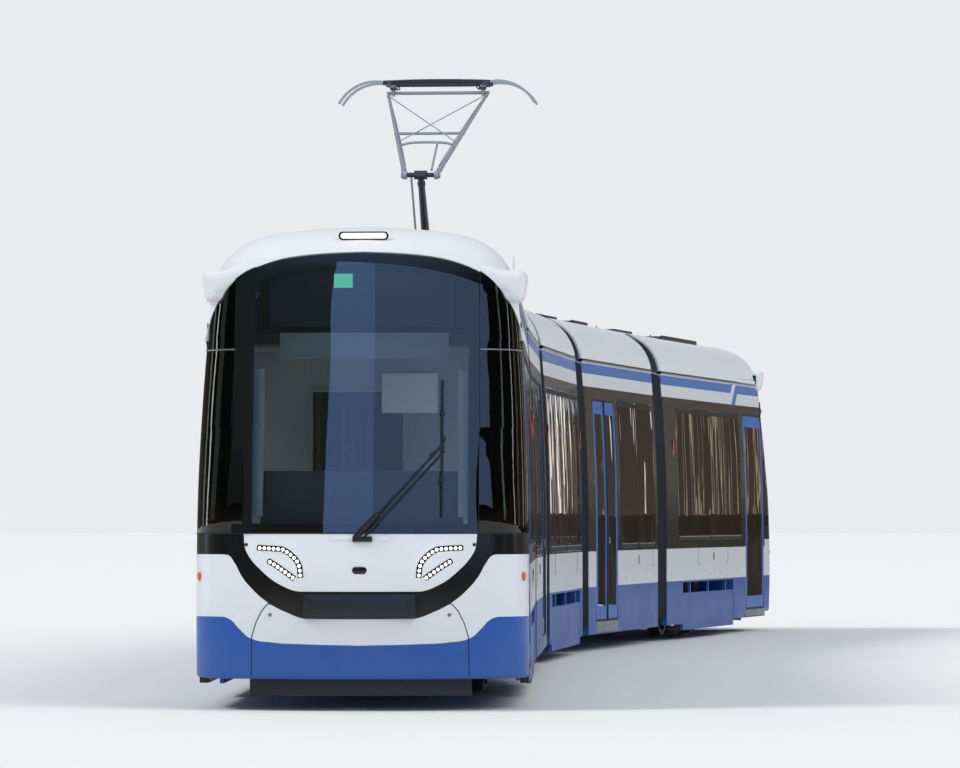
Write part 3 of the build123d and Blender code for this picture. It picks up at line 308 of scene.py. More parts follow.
roof_mat = tinted("dusty_roof_mat", "#5B5E62", "#74726D", 2.0, 0.7, 0.85, 250.0, 0.0008)


def glazing(name, code, waves, depth):
    """Toughened glass: smooth, tinted in the sheet, with the slow upright roller waves of the furnace."""
    look = {"Base_Color": linear(code), "Roughness": 0.01, "IOR": 1.5, "Transmission_Weight": 1.0}
    material, tree, shader, coords = start(name, **look)
    surface_grain(tree, shader, coords, 1.0, depth, waves, 1.5, Roughness=0.4)
    return material


side_glass = glazing("dark_tinted_glass", "#56524E", (2.6, 2.6, 0.5), 0.008)
front_glass = glazing("laminated_windscreen", "#D3DDDF", (1.2, 1.2, 0.8), 0.002)


def lets_light_in(pane):
    """Sunlight and sky reach the inside through a pane."""
    pane.visible_shadow = False
    pane.visible_diffuse = False


def lamp_lens(name, code, strength):
    glow = {"Emission_Color": linear(code), "Emission_Strength": strength}
    material, tree, shader, coords = start(name, Base_Color=linear(code), Roughness=0.2, **glow)
    surface_grain(tree, shader, coords, 300.0, 0.0003)
    return material


led_white = lamp_lens("white_led_lens", "#FFF6E6", 1.6)
brow_lens = lamp_lens("warm_white_lens", "#FFF1D8", 0.9)
sign_green = lamp_lens("green_signal_panel", "#63D9A0", 0.7)
light_strip = lamp_lens("opal_light_strip", "#E8EEF2", 0.35)


def paint_nodes(sections, finishes):
    """Gives the CAD's nodes their finish, in each section."""
    for section in sections:
        for node, finish in finishes.items():
            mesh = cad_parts[f"{section}_{node}"].data
            mesh.materials.clear()
            mesh.materials.append(finish[section] if isinstance(finish, dict) else finish)


paint_nodes(SECTIONS, {"shell": PAINT, "side_glass": side_glass, "seats": moquette, "roof": roof_paint})
paint_nodes(CABS + SALOONS, {"doors": door_paint})
paint_nodes(CABS + CENTRE, {
    "bogie_covers": PAINT, "bogie_frame": bogie_paint, "wheelset_1": wheel_steel, "wheelset_2": wheel_steel,
})
paint_nodes(CABS, {"interior": dash_plastic, "life_guard": guard_grp, "lamps": led_white, "wiper": seal_rubber})
paint_nodes(("pantograph",), {
    "base": arm_steel, "lower_arm": arm_steel, "upper_arm": frame_zinc, "coupling_rod": frame_zinc, "head": frame_zinc,
})
for section in SECTIONS:
    lets_light_in(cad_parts[f"{section}_side_glass"])


# Making pieces

def mesh_piece(name, points, faces):
    """A new mesh object from points and faces, in a section's frame."""
    mesh = bpy.data.meshes.new(name)
    mesh.from_pydata(points, [], faces)
    return placed(name, mesh)


def placed(name, data):
    """A new object in the scene."""
    piece = bpy.data.objects.new(name, data)
    bpy.context.collection.objects.link(piece)
    return piece


def skin(name, rows, closed=False):
    """A sheet through rows of points."""
    width = len(rows[0])
    span = width if closed else width - 1
    points = [p for row in rows for p in row]
    faces = [
        (r * width + c, r * width + (c + 1) % width, (r + 1) * width + (c + 1) % width, (r + 1) * width + c)
        for r in range(len(rows) - 1) for c in range(span)
    ]
    return mesh_piece(name, points, faces)


def only(piece):
    bpy.ops.object.select_all(action="DESELECT")
    piece.select_set(True)
    bpy.context.view_layer.objects.active = piece


def modified(piece, kind, **settings):
    """Adds a modifier and applies it."""
    only(piece)
    modifier = piece.modifiers.new(kind.lower(), kind)
    for name, value in settings.items():
        setattr(modifier, name, value)
    bpy.ops.object.modifier_apply(modifier=modifier.name)
    return piece


def bevelled(piece, width, segments=2):
    return modified(piece, "BEVEL", width=width, segments=segments)


def thickened(piece, inwards):
    """The sheet with a thickness, inwards from where it lies."""
    return modified(piece, "SOLIDIFY", thickness=-inwards, offset=1)


def smooth(piece, angle=35):
    only(piece)
    bpy.ops.object.shade_smooth_by_angle(angle=radians(angle))
    return piece


def outwards(piece, doubles=0.00005):
    """Merges doubles and turns every face to the outside."""
    only(piece)
    bpy.ops.object.mode_set(mode="EDIT")
    bpy.ops.mesh.select_all(action="SELECT")
    bpy.ops.mesh.remove_doubles(threshold=doubles)
    bpy.ops.mesh.normals_make_consistent(inside=False)
    bpy.ops.object.mode_set(mode="OBJECT")
    return piece


def reshaped(piece, move):
    """The piece with each vertex moved by a function that changes its coordinates."""
    only(piece)
    bpy.ops.object.mode_set(mode="EDIT")
    mesh = bmesh.from_edit_mesh(piece.data)
    for vertex in mesh.verts:
        move(vertex.co)
    bmesh.update_edit_mesh(piece.data)
    bpy.ops.object.mode_set(mode="OBJECT")
    return piece


def joined(name, pieces):
    """Several pieces as one."""
    bpy.ops.object.select_all(action="DESELECT")
    for piece in pieces:
        piece.select_set(True)
    bpy.context.view_layer.objects.active = pieces[0]
    bpy.ops.object.join()
    pieces[0].name = name
    return pieces[0]


def whole(name, pieces, angle=40):
    """Several pieces as one, shaded smooth up to an angle."""
    return smooth(joined(name, pieces), angle)


def capped(name, rows, ends=(0, -1)):
    """A sheet closed round through rows of points, with its end rows filled."""
    caps = [mesh_piece("cap", rows[k], [tuple(range(len(rows[k])))]) for k in ends]
    return outwards(joined(name, [skin(name, rows, closed=True)] + caps))


def slab(name, x0, x1, y0, y1, z0, z1, round_over=0.004, segments=2):
    """A box with its edges rounded over."""
    bpy.ops.object.select_all(action="DESELECT")
    bpy.ops.mesh.primitive_cube_add(size=1, location=((x0 + x1) / 2, (y0 + y1) / 2, (z0 + z1) / 2))
    box = bpy.context.object
    box.name = name
    box.scale = (x1 - x0, y1 - y0, z1 - z0)
    bpy.ops.object.transform_apply(location=True, scale=True)
    return bevelled(box, round_over, segments)


def side_slab(name, side, near, far, *rest):
    """A box on one side of the centre line, between two distances from it."""
    return slab(name, *sorted((side * near, side * far)), *rest)


def ball(centre, radius, scale, segments, rings):
    """A sphere, squashed by a scale."""
    bpy.ops.object.select_all(action="DESELECT")
    bpy.ops.mesh.primitive_uv_sphere_add(segments=segments, ring_count=rings, radius=radius, location=centre)
    bpy.context.object.scale = scale
    bpy.ops.object.transform_apply(location=True, scale=True)
    return bpy.context.object


def rod(name, points, radius, resolution=3, smooth_line=False):
    """A round bar or seal through points, as a mesh."""
    curve = bpy.data.curves.new(name, "CURVE")
    curve.dimensions = "3D"
    curve.bevel_depth = radius
    curve.bevel_resolution = resolution
    curve.use_fill_caps = True
    line = curve.splines.new("NURBS" if smooth_line else "POLY")
    line.points.add(len(points) - 1)
    for point, place in zip(line.points, points):
        point.co = (*place, 1)
    if smooth_line:
        line.order_u = 3
        line.use_endpoint_u = True
    only(placed(name, curve))
    bpy.ops.object.convert(target="MESH")
    return bpy.context.object


def mirrored(piece):
    """The piece with its copy on the other side of the section's centre line."""
    return modified(piece, "MIRROR", use_axis=(True, False, False), use_mirror_merge=True, merge_threshold=0.0002)


def at(piece, matrix, name):
    """A copy of a piece, with a mesh of its own, moved by a matrix."""
    copy = placed(name, piece.data.copy())
    copy.data.transform(matrix)
    return copy


def removed(piece):
    bpy.data.objects.remove(piece, do_unlink=True)


def dress(piece, sections, finish, slot="black_plastic", body=None, replaced=()):
    """Sets a finished piece in each section, with a mesh of its own, and hides the nodes that it stands for."""
    made = []
    for section in sections:
        copy = at(piece, SECTIONS[section], f"{section}_{piece.name}")
        copy.data.materials.clear()
        copy.data.materials.append(finish[section] if isinstance(finish, dict) else finish)
        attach(copy, body or section)
        if replaced:
            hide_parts(*[f"{section}_{node}" for node in replaced])
        made.append(copy)
    removed(piece)
    return made


def dress_all(sections, *pieces):
    """Sets pieces in each section. Each is given with its finish, and its slot where that isn't black plastic; the slot
    is not used.
    """
    for piece, *looks in pieces:
        dress(piece, sections, *looks)


def side_x(z, inset=0.0):
    """Half width of the body at a height, at an inset from its outside."""
    lean = max(z - TUMBLE_START, 0)
    return HALF_WIDTH - TUMBLE_RADIUS + sqrt((TUMBLE_RADIUS - inset) ** 2 - lean ** 2)


def spread(a, b, steps):
    """Values from a to b in equal steps."""
    return [a + (b - a) * k / steps for k in range(steps + 1)]


def spread_points(a, b, steps):
    """Points from a to b in equal steps."""
    return list(zip(*(spread(p, q, steps) for p, q in zip(a, b))))


# Cab front: its plan outline at some heights. Columns: height, tip behind the nose, front radius, corner radius
FRONT_LEVELS = (
    (0.2, 0.06, 2.6, 0.45), (0.72, 0.0, 2.6, 0.45), (1.24, 0.05, 2.6, 0.45), (2.0, 0.22, 2.55, 0.44),
    (2.64, 0.425, 2.5, 0.4), (3.28, 0.65, 2.4, 0.38), (3.5, 0.85, 2.3, 0.38),
)
NOSE_BACK = 0.93
GLASS_LOW = 1.24
HOOD_BACK = 2.3

# Right halves of the glazing's top edge and of the roof's section. Columns: distance from the centre line, height
GLAZING_ARCH = (
    (0, 3.28), (0.3, 3.268), (0.56, 3.238), (0.74, 3.186), (0.86, 3.13), (0.96, 3.05), (1.035, 2.955), (1.1, 2.83),
    (1.17, 2.64),
)
ROOF_PROFILE = (
    (0, CROWN_Z), (0.3, 3.478), (0.58, 3.45), (0.78, 3.405), (0.9, 3.345), (1.003, 3.255), (1.075, 3.13), (1.115, 3.0),
    (side_x(2.85), 2.85), (side_x(2.64), 2.64),
)


def hermite(t):
    """Weights of a smooth line's start, the way it leaves, its end and the way it arrives."""
    return 2 * t ** 3 - 3 * t ** 2 + 1, t ** 3 - 2 * t ** 2 + t, 3 * t ** 2 - 2 * t ** 3, t ** 3 - t ** 2


def eased(table, z):
    """Values of a table at z, on a smooth line through its rows."""
    rows = [table[0]] + list(table) + [table[-1]]
    for k in range(1, len(rows) - 2):
        if z <= rows[k + 1][0]:
            break
    before, low, high, after = rows[k - 1:k + 3]
    span = high[0] - low[0]
    from_low, leave, from_high, arrive = hermite(min(max((z - low[0]) / span, 0), 1))
    return [
        p * from_low + (q - a) / (high[0] - before[0]) * span * leave
        + q * from_high + (b - p) / (after[0] - low[0]) * span * arrive
        for a, p, q, b in zip(before[1:], low[1:], high[1:], after[1:])
    ]


def running_lengths(line):
    """The distance along a line to each of its points."""
    lengths = [0.0]
    for a, b in zip(line, line[1:]):
        lengths.append(lengths[-1] + dist(a, b))
    return lengths


def along_line(line, share):
    """The point at a share of a line's length."""
    lengths = running_lengths(line)
    want = lengths[-1] * share
    for k in range(len(line) - 1):
        if lengths[k] <= want <= lengths[k + 1] and lengths[k + 1] > lengths[k]:
            return line[k].lerp(line[k + 1], (want - lengths[k]) / (lengths[k + 1] - lengths[k]))
    return line[-1]


def along_profile(points, share):
    """X and Z at a share of a profile's length, on a smooth line through its points."""
    lengths = running_lengths(points)
    return eased([(length / lengths[-1], *point) for length, point in zip(lengths, points)], share)


def plan_row(z, inset=0.0, front_steps=26, corner_steps=12, side_steps=3):
    """Right half of the cab front's plan outline at a height, from the centre line to the side's back."""
    tip, radius, bend = eased(FRONT_LEVELS, z)
    half = side_x(z)
    centre_y = tip + radius
    corner_x = half - bend
    reach = radius - bend
    corner_y = centre_y - sqrt(reach ** 2 - corner_x ** 2)
    touch = asin(corner_x / reach)
    row = [
        Vector((sin(a) * (radius - inset), centre_y - cos(a) * (radius - inset), z))
        for a in spread(0, touch, front_steps)[:-1]
    ]
    row += [
        Vector((corner_x + sin(a) * (bend - inset), corner_y - cos(a) * (bend - inset), z))
        for a in spread(touch, pi / 2, corner_steps)[:-1]
    ]
    return row + [Vector((half - inset, y, z)) for y in spread(corner_y, NOSE_BACK, side_steps)]


def front_y(x, z, inset=0.0):
    """Where the cab front lies at a distance from the centre line and a height."""
    row = plan_row(z, inset, 60, 30)
    x = abs(x)
    for near, far in zip(row, row[1:]):
        if near.x <= x <= far.x:
            share = (x - near.x) / max(far.x - near.x, 1e-9)
            return near.y + (far.y - near.y) * share
    return row[-1].y


def on_front(x, z, inset=0.0):
    return Vector((x, front_y(x, z, inset), z))


def arch_z(x):
    """Height of the glazing's top edge at a distance from the centre line."""
    return eased(GLAZING_ARCH, min(abs(x), GLAZING_ARCH[-1][0]))[0]


def front_row(z, inset=0.0, height=None):
    """The whole plan outline at a height, from left to right, set at another height where one is given."""
    half = [Vector((p.x, p.y, z if height is None else height)) for p in plan_row(z, inset)]
    return [Vector((-p.x, p.y, p.z)) for p in reversed(half[1:])] + half


def front_grid(name, x0, x1, columns, rows, inset, low, top):
    """A sheet that follows the cab front, between two distances from the centre line and two lines over them."""
    return skin(name, [
        [on_front(x, low(x) + (top(x) - low(x)) * r / rows, inset) for x in spread(x0, x1, columns)]
        for r in range(rows + 1)
    ])


# Cab front

PANE = 0.011
PANE_INSET = 0.001
PANE_FOOT = GLASS_LOW + 0.004
PANE_GAP = 0.004
LINER_INSET = 0.016
CORNER_COLUMNS = 22
CORNER_ROWS = 26
CORNER_EDGE = SCREEN_HALF + 0.006


def nose_skin():
    """Lower front panel, rolled under at its foot."""
    foot = ((0.215, 0.06), (0.2, 0.035), (0.203, 0.014), (0.216, 0.003))
    rows = [front_row(0.216, inset, z) for z, inset in foot]
    rows += [front_row(z) for z in spread(0.23, GLASS_LOW - 0.003, 34)]
    rows.append(front_row(GLASS_LOW, 0.04, GLASS_LOW - 0.002))
    return smooth(thickened(skin("nose_panel", rows), 0.012), 50)


def corner_rows(low, inset):
    """Right corner glazing from the windscreen's edge round to the side."""
    sheet = []
    for r in range(CORNER_ROWS + 1):
        row = []
        for share in spread(0, 1, CORNER_COLUMNS):
            z = low
            for _ in range(8):
                outline = plan_row(z, inset, 40, 20, 6)
                line = [on_front(CORNER_EDGE, z, inset)] + [p for p in outline if p.x >= CORNER_EDGE]
                place = along_line(line, share)
                z = low + (arch_z(place.x) - PANE_GAP - low) * r / CORNER_ROWS
            row.append(Vector((place.x, place.y, z)))
        sheet.append(row)
    return sheet


def windscreen():
    pane = front_grid(
        "windscreen_pane", -SCREEN_HALF, SCREEN_HALF, 60, 26, PANE_INSET,
        lambda x: PANE_FOOT, lambda x: arch_z(x) - PANE_GAP,
    )
    return smooth(thickened(pane, PANE), 50)


def corner_panes():
    pane = skin("corner_panes", corner_rows(PANE_FOOT, PANE_INSET))
    return smooth(mirrored(thickened(pane, PANE)), 50)


HOOD_SPLIT = 0.78
HOOD_COLUMNS = 64
HOOD_STEPS = 16


def hood_line(t):
    """A line over the hood from the lip in the glazing's rebate to the straight roof."""
    gx, gz = along_profile(GLAZING_ARCH, t)
    px, pz = along_profile(ROOF_PROFILE, t)
    edge = on_front(gx, gz)
    rise = (on_front(gx, min(gz + 0.1, FRONT_LEVELS[-1][0])) - edge).normalized()
    end = Vector((px, NOSE_BACK + 0.42 * (1 - min(t / HOOD_SPLIT, 1) ** 2), pz))
    reach = (end - edge).length
    line = [on_front(gx, gz, 0.03)]
    for u in spread(0, 1, HOOD_STEPS):
        from_edge, leave, from_end, arrive = hermite(u)
        line.append(
            edge * from_edge + rise * reach * leave + end * from_end + Vector((0, 1, 0)) * reach * 0.9 * arrive
        )
    return line


def hood_shell():
    """Roof hood: a smooth cap that grows out of the glazing's arch into the straight roof."""
    cap = [hood_line(t) for t in spread(0, 1, HOOD_COLUMNS)]
    straight = []
    for line in cap[:int(HOOD_COLUMNS * HOOD_SPLIT) + 1]:
        x, y, z = line[-1]
        straight.append((
            (x, y, z), (x, 1.6, z), (x, HOOD_BACK - 0.012, z), (x * 0.985, HOOD_BACK, z - 0.012),
            (x * 0.96, HOOD_BACK, z - 0.05),
        ))
    parts = [skin("hood_cap", list(zip(*cap))), skin("hood_roof", list(zip(*straight)))]
    return smooth(thickened(outwards(mirrored(joined("hood_shell", parts))), 0.008), 45)


def camera_pods():
    """Moulded camera pods at the hood's corners, grown out of its shoulders."""
    def fall(place):
        place.z -= (place.x - 0.8) * 0.28

    def taper(place):
        if place.y < 0.95:
            place.x -= (0.95 - place.y) * 0.12
        place.x -= (3.155 - place.z) * 0.12

    pod = reshaped(slab("camera_pods", 0.975, 1.2, 0.78, 1.15, 2.915, 3.155, 0.06, 6), taper)
    shoulder = reshaped(slab("shoulder", 0.8, 1.1, 0.76, 1.12, 3.05, 3.215, 0.05, 5), fall)
    pods = joined("camera_pods", [pod, shoulder])
    modified(pods, "REMESH", mode="VOXEL", voxel_size=0.011)
    modified(pods, "SMOOTH", factor=0.6, iterations=10)
    return smooth(mirrored(pods), 80)


def along_front(points, steps, inset=0.0):
    """A line over the cab front through (x, z) points."""
    line = []
    for here, there in zip(points, points[1:]):
        line += [on_front(x, z, inset) for x, z in spread_points(here, there, steps)[:-1]]
    return line + [on_front(*points[-1], inset)]


def front_seams():
    """Gaps between the nose's panels and round its glazing, filled with rubber."""
    panel_gap = ((0.655, 0.74), (0.70, 0.69), (0.745, 0.6), (0.775, 0.5), (0.78, 0.22))
    edge = SCREEN_HALF + 0.003
    glass_gap = [(edge, GLASS_LOW + 0.1 * k) for k in range(19)] + [(edge, arch_z(SCREEN_HALF))]
    pieces = []
    for side in SIDES:
        for path, steps in ((panel_gap, 6), (glass_gap, 1)):
            pieces.append(rod("seam", along_front([(side * x, z) for x, z in path], steps), 0.0035, 1))
    pieces.append(rod("seam", front_row(GLASS_LOW, 0.0, GLASS_LOW + 0.001), 0.005, 1))
    return whole("front_seams", pieces, 60)


def pillar_liner():
    """Black pillars and glazing border behind the glass."""
    def top(x):
        return arch_z(x) - 0.01

    parts = [
        front_grid("pillar", side * 0.775, side * 0.915, 4, 26, LINER_INSET, lambda x: GLASS_LOW, top)
        for side in SIDES
    ]
    parts += [
        front_grid(
            "foot_border", -SCREEN_HALF, SCREEN_HALF, 40, 2, LINER_INSET,
            lambda x: GLASS_LOW, lambda x: GLASS_LOW + 0.07,
        ),
        front_grid(
            "arch_border", -1.1, 1.1, 60, 3, LINER_INSET, lambda x: top(x) - (0.075 + 0.02 * abs(x)), top,
        ),
    ]
    return smooth(thickened(joined("glazing_border", parts), 0.03), 50)


def corner_border():
    """Opaque frame of the corner glazing, behind the glass."""
    rows = corner_rows(GLASS_LOW, LINER_INSET)
    parts = [skin("frame", rows[:2]), skin("frame", [row[16:] for row in rows])]
    return smooth(mirrored(thickened(joined("corner_border", parts), 0.025)), 50)


def corner_dividers():
    """Bright strip across the corner glazing, between its lower pane and the dark one above."""
    height = 2.57
    rows = corner_rows(GLASS_LOW, -0.002)
    line = []
    for column in zip(*rows):
        for below, above in zip(column, column[1:]):
            if below.z <= height <= above.z:
                line.append(below.lerp(above, (height - below.z) / (above.z - below.z)))
                break
    return smooth(mirrored(rod("corner_dividers", line, 0.006, 3)), 60)


BUMPER_LOW = 0.633
BUMPER_HIGH = 0.806


def bumper_cover():
    """Coupler cover: a dark box with a raised face and canted ends."""
    def cant(place):
        if place.y < -0.014:
            place.x *= 0.93
            if place.z > 0.72:
                place.z -= 0.012

    cover = slab("bumper_cover", -0.402, 0.402, -0.012, 0.06, BUMPER_LOW, BUMPER_HIGH, 0.01, 3)
    face = slab("bumper_face", -0.375, 0.375, -0.03, 0.0, BUMPER_LOW + 0.02, BUMPER_HIGH - 0.022, 0.012, 3)
    return whole("bumper_cover", [cover, reshaped(face, cant)])


# Middle lines of the head lamps' two arms. Columns: distance from the centre line, height
LAMP_ARMS = (
    (
        (0.733, 1.137), (0.64, 1.133), (0.553, 1.127), (0.505, 1.1), (0.471, 1.07), (0.445, 1.04), (0.428, 1.0),
        (0.422, 0.924),
    ),
    ((0.655, 1.045), (0.6, 1.012), (0.553, 0.98), (0.505, 0.946), (0.463, 0.916)),
)
DIODE_PITCH = 0.036


def head_lamps():
    """Two arms of light-emitting diodes in each head lamp, in a dark tray."""
    def sink(place):
        place.y = max(place.y, front_y(place.x, place.z) - 0.004)

    trays, lights = [], []
    for side in SIDES:
        for path in LAMP_ARMS:
            line = along_front([(side * x, z) for x, z in path], 3, -0.001)
            trays.append(rod("tray", line, 0.021, 2))
            count = int(running_lengths(line)[-1] / DIODE_PITCH) + 1
            for k in range(count):
                centre = along_line(line, (k + 0.5) / count) - Vector((0, 0.016, 0))
                lights.append(ball(centre, 0.0125, (1, 0.6, 1), 10, 6))
    return smooth(reshaped(joined("lamp_trays", trays), sink), 60), whole("lamp_diodes", lights, 60)


def capsule(name, centre, half_length, radius, depth, segments=24):
    """An oval plate facing forwards, raised by depth."""
    ring = []
    for k in range(segments):
        a = 2 * pi * k / segments
        ring.append(((half_length if cos(a) > 0 else -half_length) + cos(a) * radius, sin(a) * radius))
    levels = ((0.0, 1.0), (-depth * 0.7, 1.0), (-depth, 0.85))
    rows = [[centre + Vector((x * scale, y, z * scale)) for x, z in ring] for y, scale in levels]
    return capped(name, rows, (-1,))


def front_fittings():
    """Coupler eye and screws on the nose."""
    parts = [capsule("coupler_eye", on_front(0, 0.977), 0.026, 0.026, 0.006)]
    for x, z in ((0.64, 0.745), (0.815, 1.16)):
        parts += [capsule("screw", on_front(side * x, z), 0.001, 0.012, 0.005, 12) for side in SIDES]
    return whole("front_fittings", parts)


def brow_lamp():
    centre = on_front(0, 3.4) + Vector((0, 0.02, 0))
    rim = capsule("brow_rim", centre, 0.15, 0.032, 0.02)
    lens = capsule("brow_lens", centre - Vector((0, 0.012, 0)), 0.146, 0.02, 0.014)
    return smooth(rim, 40), smooth(lens, 40)


def indicators():
    """Amber lenses at the nose's corners."""
    place = plan_row(0.93)[34]
    lenses = [ball((side * place.x, place.y, place.z), 0.034, (0.6, 0.8, 1.0), 16, 10) for side in SIDES]
    return whole("indicators", lenses, 60)


def wiper():
    """Pantograph wiper: two rods from the sill to a long blade that stands upright."""
    def over(x, z, lift):
        return on_front(x, z) - Vector((0, lift, 0))

    parts = []
    # Columns: name, lower (x, z), upper (x, z), steps, height over the glass, radius, resolution
    for name, low, high, steps, lift, radius, resolution in (
        ("arm", (-0.02, 1.215), (0.575, 1.86), 12, 0.03, 0.009, 3),
        ("arm", (0.035, 1.215), (0.6, 1.83), 12, 0.03, 0.009, 3),
        ("heel", (-0.03, 1.21), (0.13, 1.38), 5, 0.03, 0.022, 3),
        ("blade", (0.585, 1.36), (0.585, 2.34), 16, 0.018, 0.009, 3),
        ("backing", (0.585, 1.5), (0.585, 2.2), 10, 0.032, 0.007, 3),
        ("clamp", (0.57, 1.62), (0.6, 1.62), 1, 0.03, 0.016, 2),
        ("clamp", (0.57, 1.86), (0.6, 1.86), 1, 0.03, 0.016, 2),
        ("clamp", (0.57, 2.1), (0.6, 2.1), 1, 0.03, 0.016, 2),
        ("base", (-0.05, 1.2), (0.09, 1.2), 1, 0.012, 0.02, 3),
    ):
        line = [over(x, z, lift) for x, z in spread_points(low, high, steps)]
        parts.append(rod(name, line, radius, resolution))
    link = [over(0.5, 1.8, 0.035), over(0.6, 1.86, 0.035), over(0.6, 1.93, 0.03)]
    parts.append(rod("link", link, 0.011, 2, True))
    return whole("wiper_arm", parts, 60)


def hood_details():
    """Whip aerial and rear lens on the pods, screws on the nose and the sills along the hood's foot."""
    aerial = [
        rod("whip", [(1.085, 0.95, 3.13), (1.09, 0.95, 3.27)], 0.01),
        rod("mount", [(1.085, 0.95, 3.11), (1.085, 0.95, 3.15)], 0.02),
    ]
    screws = [
        rod("screw", [on_front(side * 0.64, 0.66, inset) for inset in (0.004, -0.004)], 0.014, 4) for side in SIDES
    ]
    lens = slab("rear_lens", 1.03, 1.135, 1.13, 1.156, 2.985, 3.1, 0.012, 3)
    sill = slab("hood_sill", 1.03, 1.1215, 0.95, HOOD_BACK, 2.948, 3.03, 0.008)
    dress_all(
        CABS,
        (whole("whip_aerial", aerial, 50), roof_paint, "roof_paint"),
        (smooth(mirrored(lens), 40), black_gloss),
        (whole("front_screws", screws), bare_steel),
        (smooth(mirrored(sill), 40), roof_paint, "roof_paint"),
    )


def cab_front():
    trays, diodes = head_lamps()
    dress(nose_skin(), CABS, NOSE_PAINT, "shell_paint", replaced=("nose",))
    dress(windscreen(), CABS, front_glass, "glass", replaced=("windscreen",))
    dress(hood_shell(), CABS, roof_paint, "roof_paint", replaced=("hood",))
    dress(trays, CABS, black_gloss, replaced=("lamps",))
    dress(wiper(), CABS, seal_rubber, replaced=("wiper",))
    rim, lens = brow_lamp()
    well = capsule("wiper_well", on_front(0, 1.205) + Vector((0, 0.004, 0)), 0.2, 0.018, 0.006)
    dress_all(
        CABS,
        (corner_panes(), side_glass, "glass"),
        (camera_pods(), roof_paint, "roof_paint"),
        (front_seams(), seal_rubber),
        (pillar_liner(), black_gloss),
        (corner_border(), black_gloss),
        (corner_dividers(), bare_steel),
        (bumper_cover(), bumper_satin),
        (diodes, led_white, "glass"),
        (front_fittings(), black_gloss),
        (rim, black_gloss),
        (lens, brow_lens, "glass"),
        (indicators(), amber, "glass"),
        (smooth(well, 40), roof_paint, "roof_paint"),
    )
    hood_details()


# Joints between the sections. Columns: name, section ahead, its end's y, section behind, its end's y
SECTION_JOINTS = (
    ("front_outer", "front_cab", CAB_LENGTH, "front_saloon", 0.0),
    ("front_inner", "front_saloon", SALOON_LENGTH, "centre", 0.0),
    ("rear_inner", "rear_saloon", SALOON_LENGTH, "centre", CENTRE_LENGTH),
    ("rear_outer", "rear_cab", CAB_LENGTH, "rear_saloon", 0.0),
)
COWL_ARC = (
    (1.118, 2.992), (1.108, 3.05), (1.085, 3.12), (1.05, 3.19), (1.003, 3.255), (0.945, 3.308), (0.88, 3.35),
    (0.78, 3.405),
)
RING_MIDDLE = 1.5
FOLDS = 9


def body_ring(inset):
    """The body's section, drawn in by an inset, from the middle of its underside all the way round."""
    ring = [(0.0, 0.16), (0.5, 0.16), (0.98, 0.16), (1.13, 0.175), (side_x(0.3), 0.25)]
    ring += [(side_x(z), z) for z in spread(0.4, 2.9, 12)]
    ring += [(1.09, 2.95), (1.0, 2.972), (0.5, 2.975), (0.0, 2.975)]
    drawn = []
    for x, z in ring:
        reach = hypot(x, z - RING_MIDDLE)
        drawn.append((x - inset * x / reach, z - inset * (z - RING_MIDDLE) / reach))
    return [(-x, z) for x, z in reversed(drawn[1:-1])] + drawn


def cowl_row(side, depth):
    """The roof cowls' line on one side, drawn in by a depth."""
    return [(side * (x - depth * 0.8), z - depth * 0.6) for x, z in COWL_ARC]


def crossing(joint, rings, rows):
    """Rows of points that cross the gap between two sections. Each ring is given for its share of the way."""
    _, ahead, ahead_y, behind, behind_y = joint
    near = SECTIONS[ahead] @ Matrix.Translation((0, ahead_y, 0))
    far = SECTIONS[behind] @ Matrix.Translation((0, behind_y, 0))
    across = Vector((1, 0, 0))
    turned_round = -1 if (near.to_3x3() @ across).dot(far.to_3x3() @ across) < 0 else 1
    return [
        [
            (near @ Vector((x, 0, z))).lerp(far @ Vector((turned_round * x, 0, z)), 0.002 + 0.996 * share)
            for x, z in rings(share)
        ]
        for share in spread(0, 1, rows)
    ]


def across_joint(piece, joint, *nodes):
    """Gives a piece of bellows cloth between two sections its finish, bakes its placement into its mesh and hides the
    nodes that it stands for.
    """
    piece.data.materials.append(bellows_cloth)
    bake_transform(piece)
    if nodes:
        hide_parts(*nodes)


def folded_tunnels():
    """Bellows: coated cloth in deep folds round the gangway, clamped at both ends."""
    def fold(share):
        wave = abs((share * FOLDS) % 1 - 0.5) * 2
        return body_ring(0.012 + 0.05 * wave ** 0.8)

    for joint in SECTION_JOINTS:
        tunnel = outwards(skin(f"bellows_{joint[0]}_folds", crossing(joint, fold, FOLDS * 4), closed=True))
        modified(tunnel, "SOLIDIFY", thickness=0.006, offset=-1)
        across_joint(smooth(tunnel, 30), joint, f"bellows_{joint[0]}")


def roof_curtains():
    """Cloth that carries the roof cowls' line over the bellows, drawn in below it."""
    def right(share):
        return cowl_row(1, 0.03 + 0.012 * cos(share * 8 * pi))

    def left(share):
        return [(-x, z) for x, z in right(share)]

    for joint in SECTION_JOINTS:
        sides = [skin("curtain", crossing(joint, strip, 32)) for strip in (right, left)]
        curtain = joined(f"roof_curtain_{joint[0]}", sides)
        modified(curtain, "SOLIDIFY", thickness=0.008, offset=0)
        across_joint(smooth(curtain, 50), joint)


def bar_section(y0, y1, outside, depth):
    """The closed section of a bar that goes round, from y0 to y1 and inwards by a depth. Columns: y, inset."""
    inside = outside + depth
    return (y0, inside), (y0, outside), (y1, outside), (y1, inside), (y0, inside)


def cowl_end(name, y0, y1):
    """Moulded flange that closes a cowl's end."""
    corners = bar_section(y0, y1, 0.0, 0.05)
    flange = joined(name, [
        skin(name, [[(x, y, z) for x, z in cowl_row(side, inset)] for y, inset in corners]) for side in SIDES
    ])
    return smooth(bevelled(outwards(flange), 0.004), 40)


def end_frame(name, y0, y1):
    """Clamping frame of the bellows on a section's end."""
    corners = bar_section(y0, y1, 0.004, 0.09)
    rows = [[(x, y, z) for x, z in body_ring(inset)] for y, inset in corners]
    return smooth(bevelled(outwards(skin(name, rows, closed=True)), 0.003), 40)


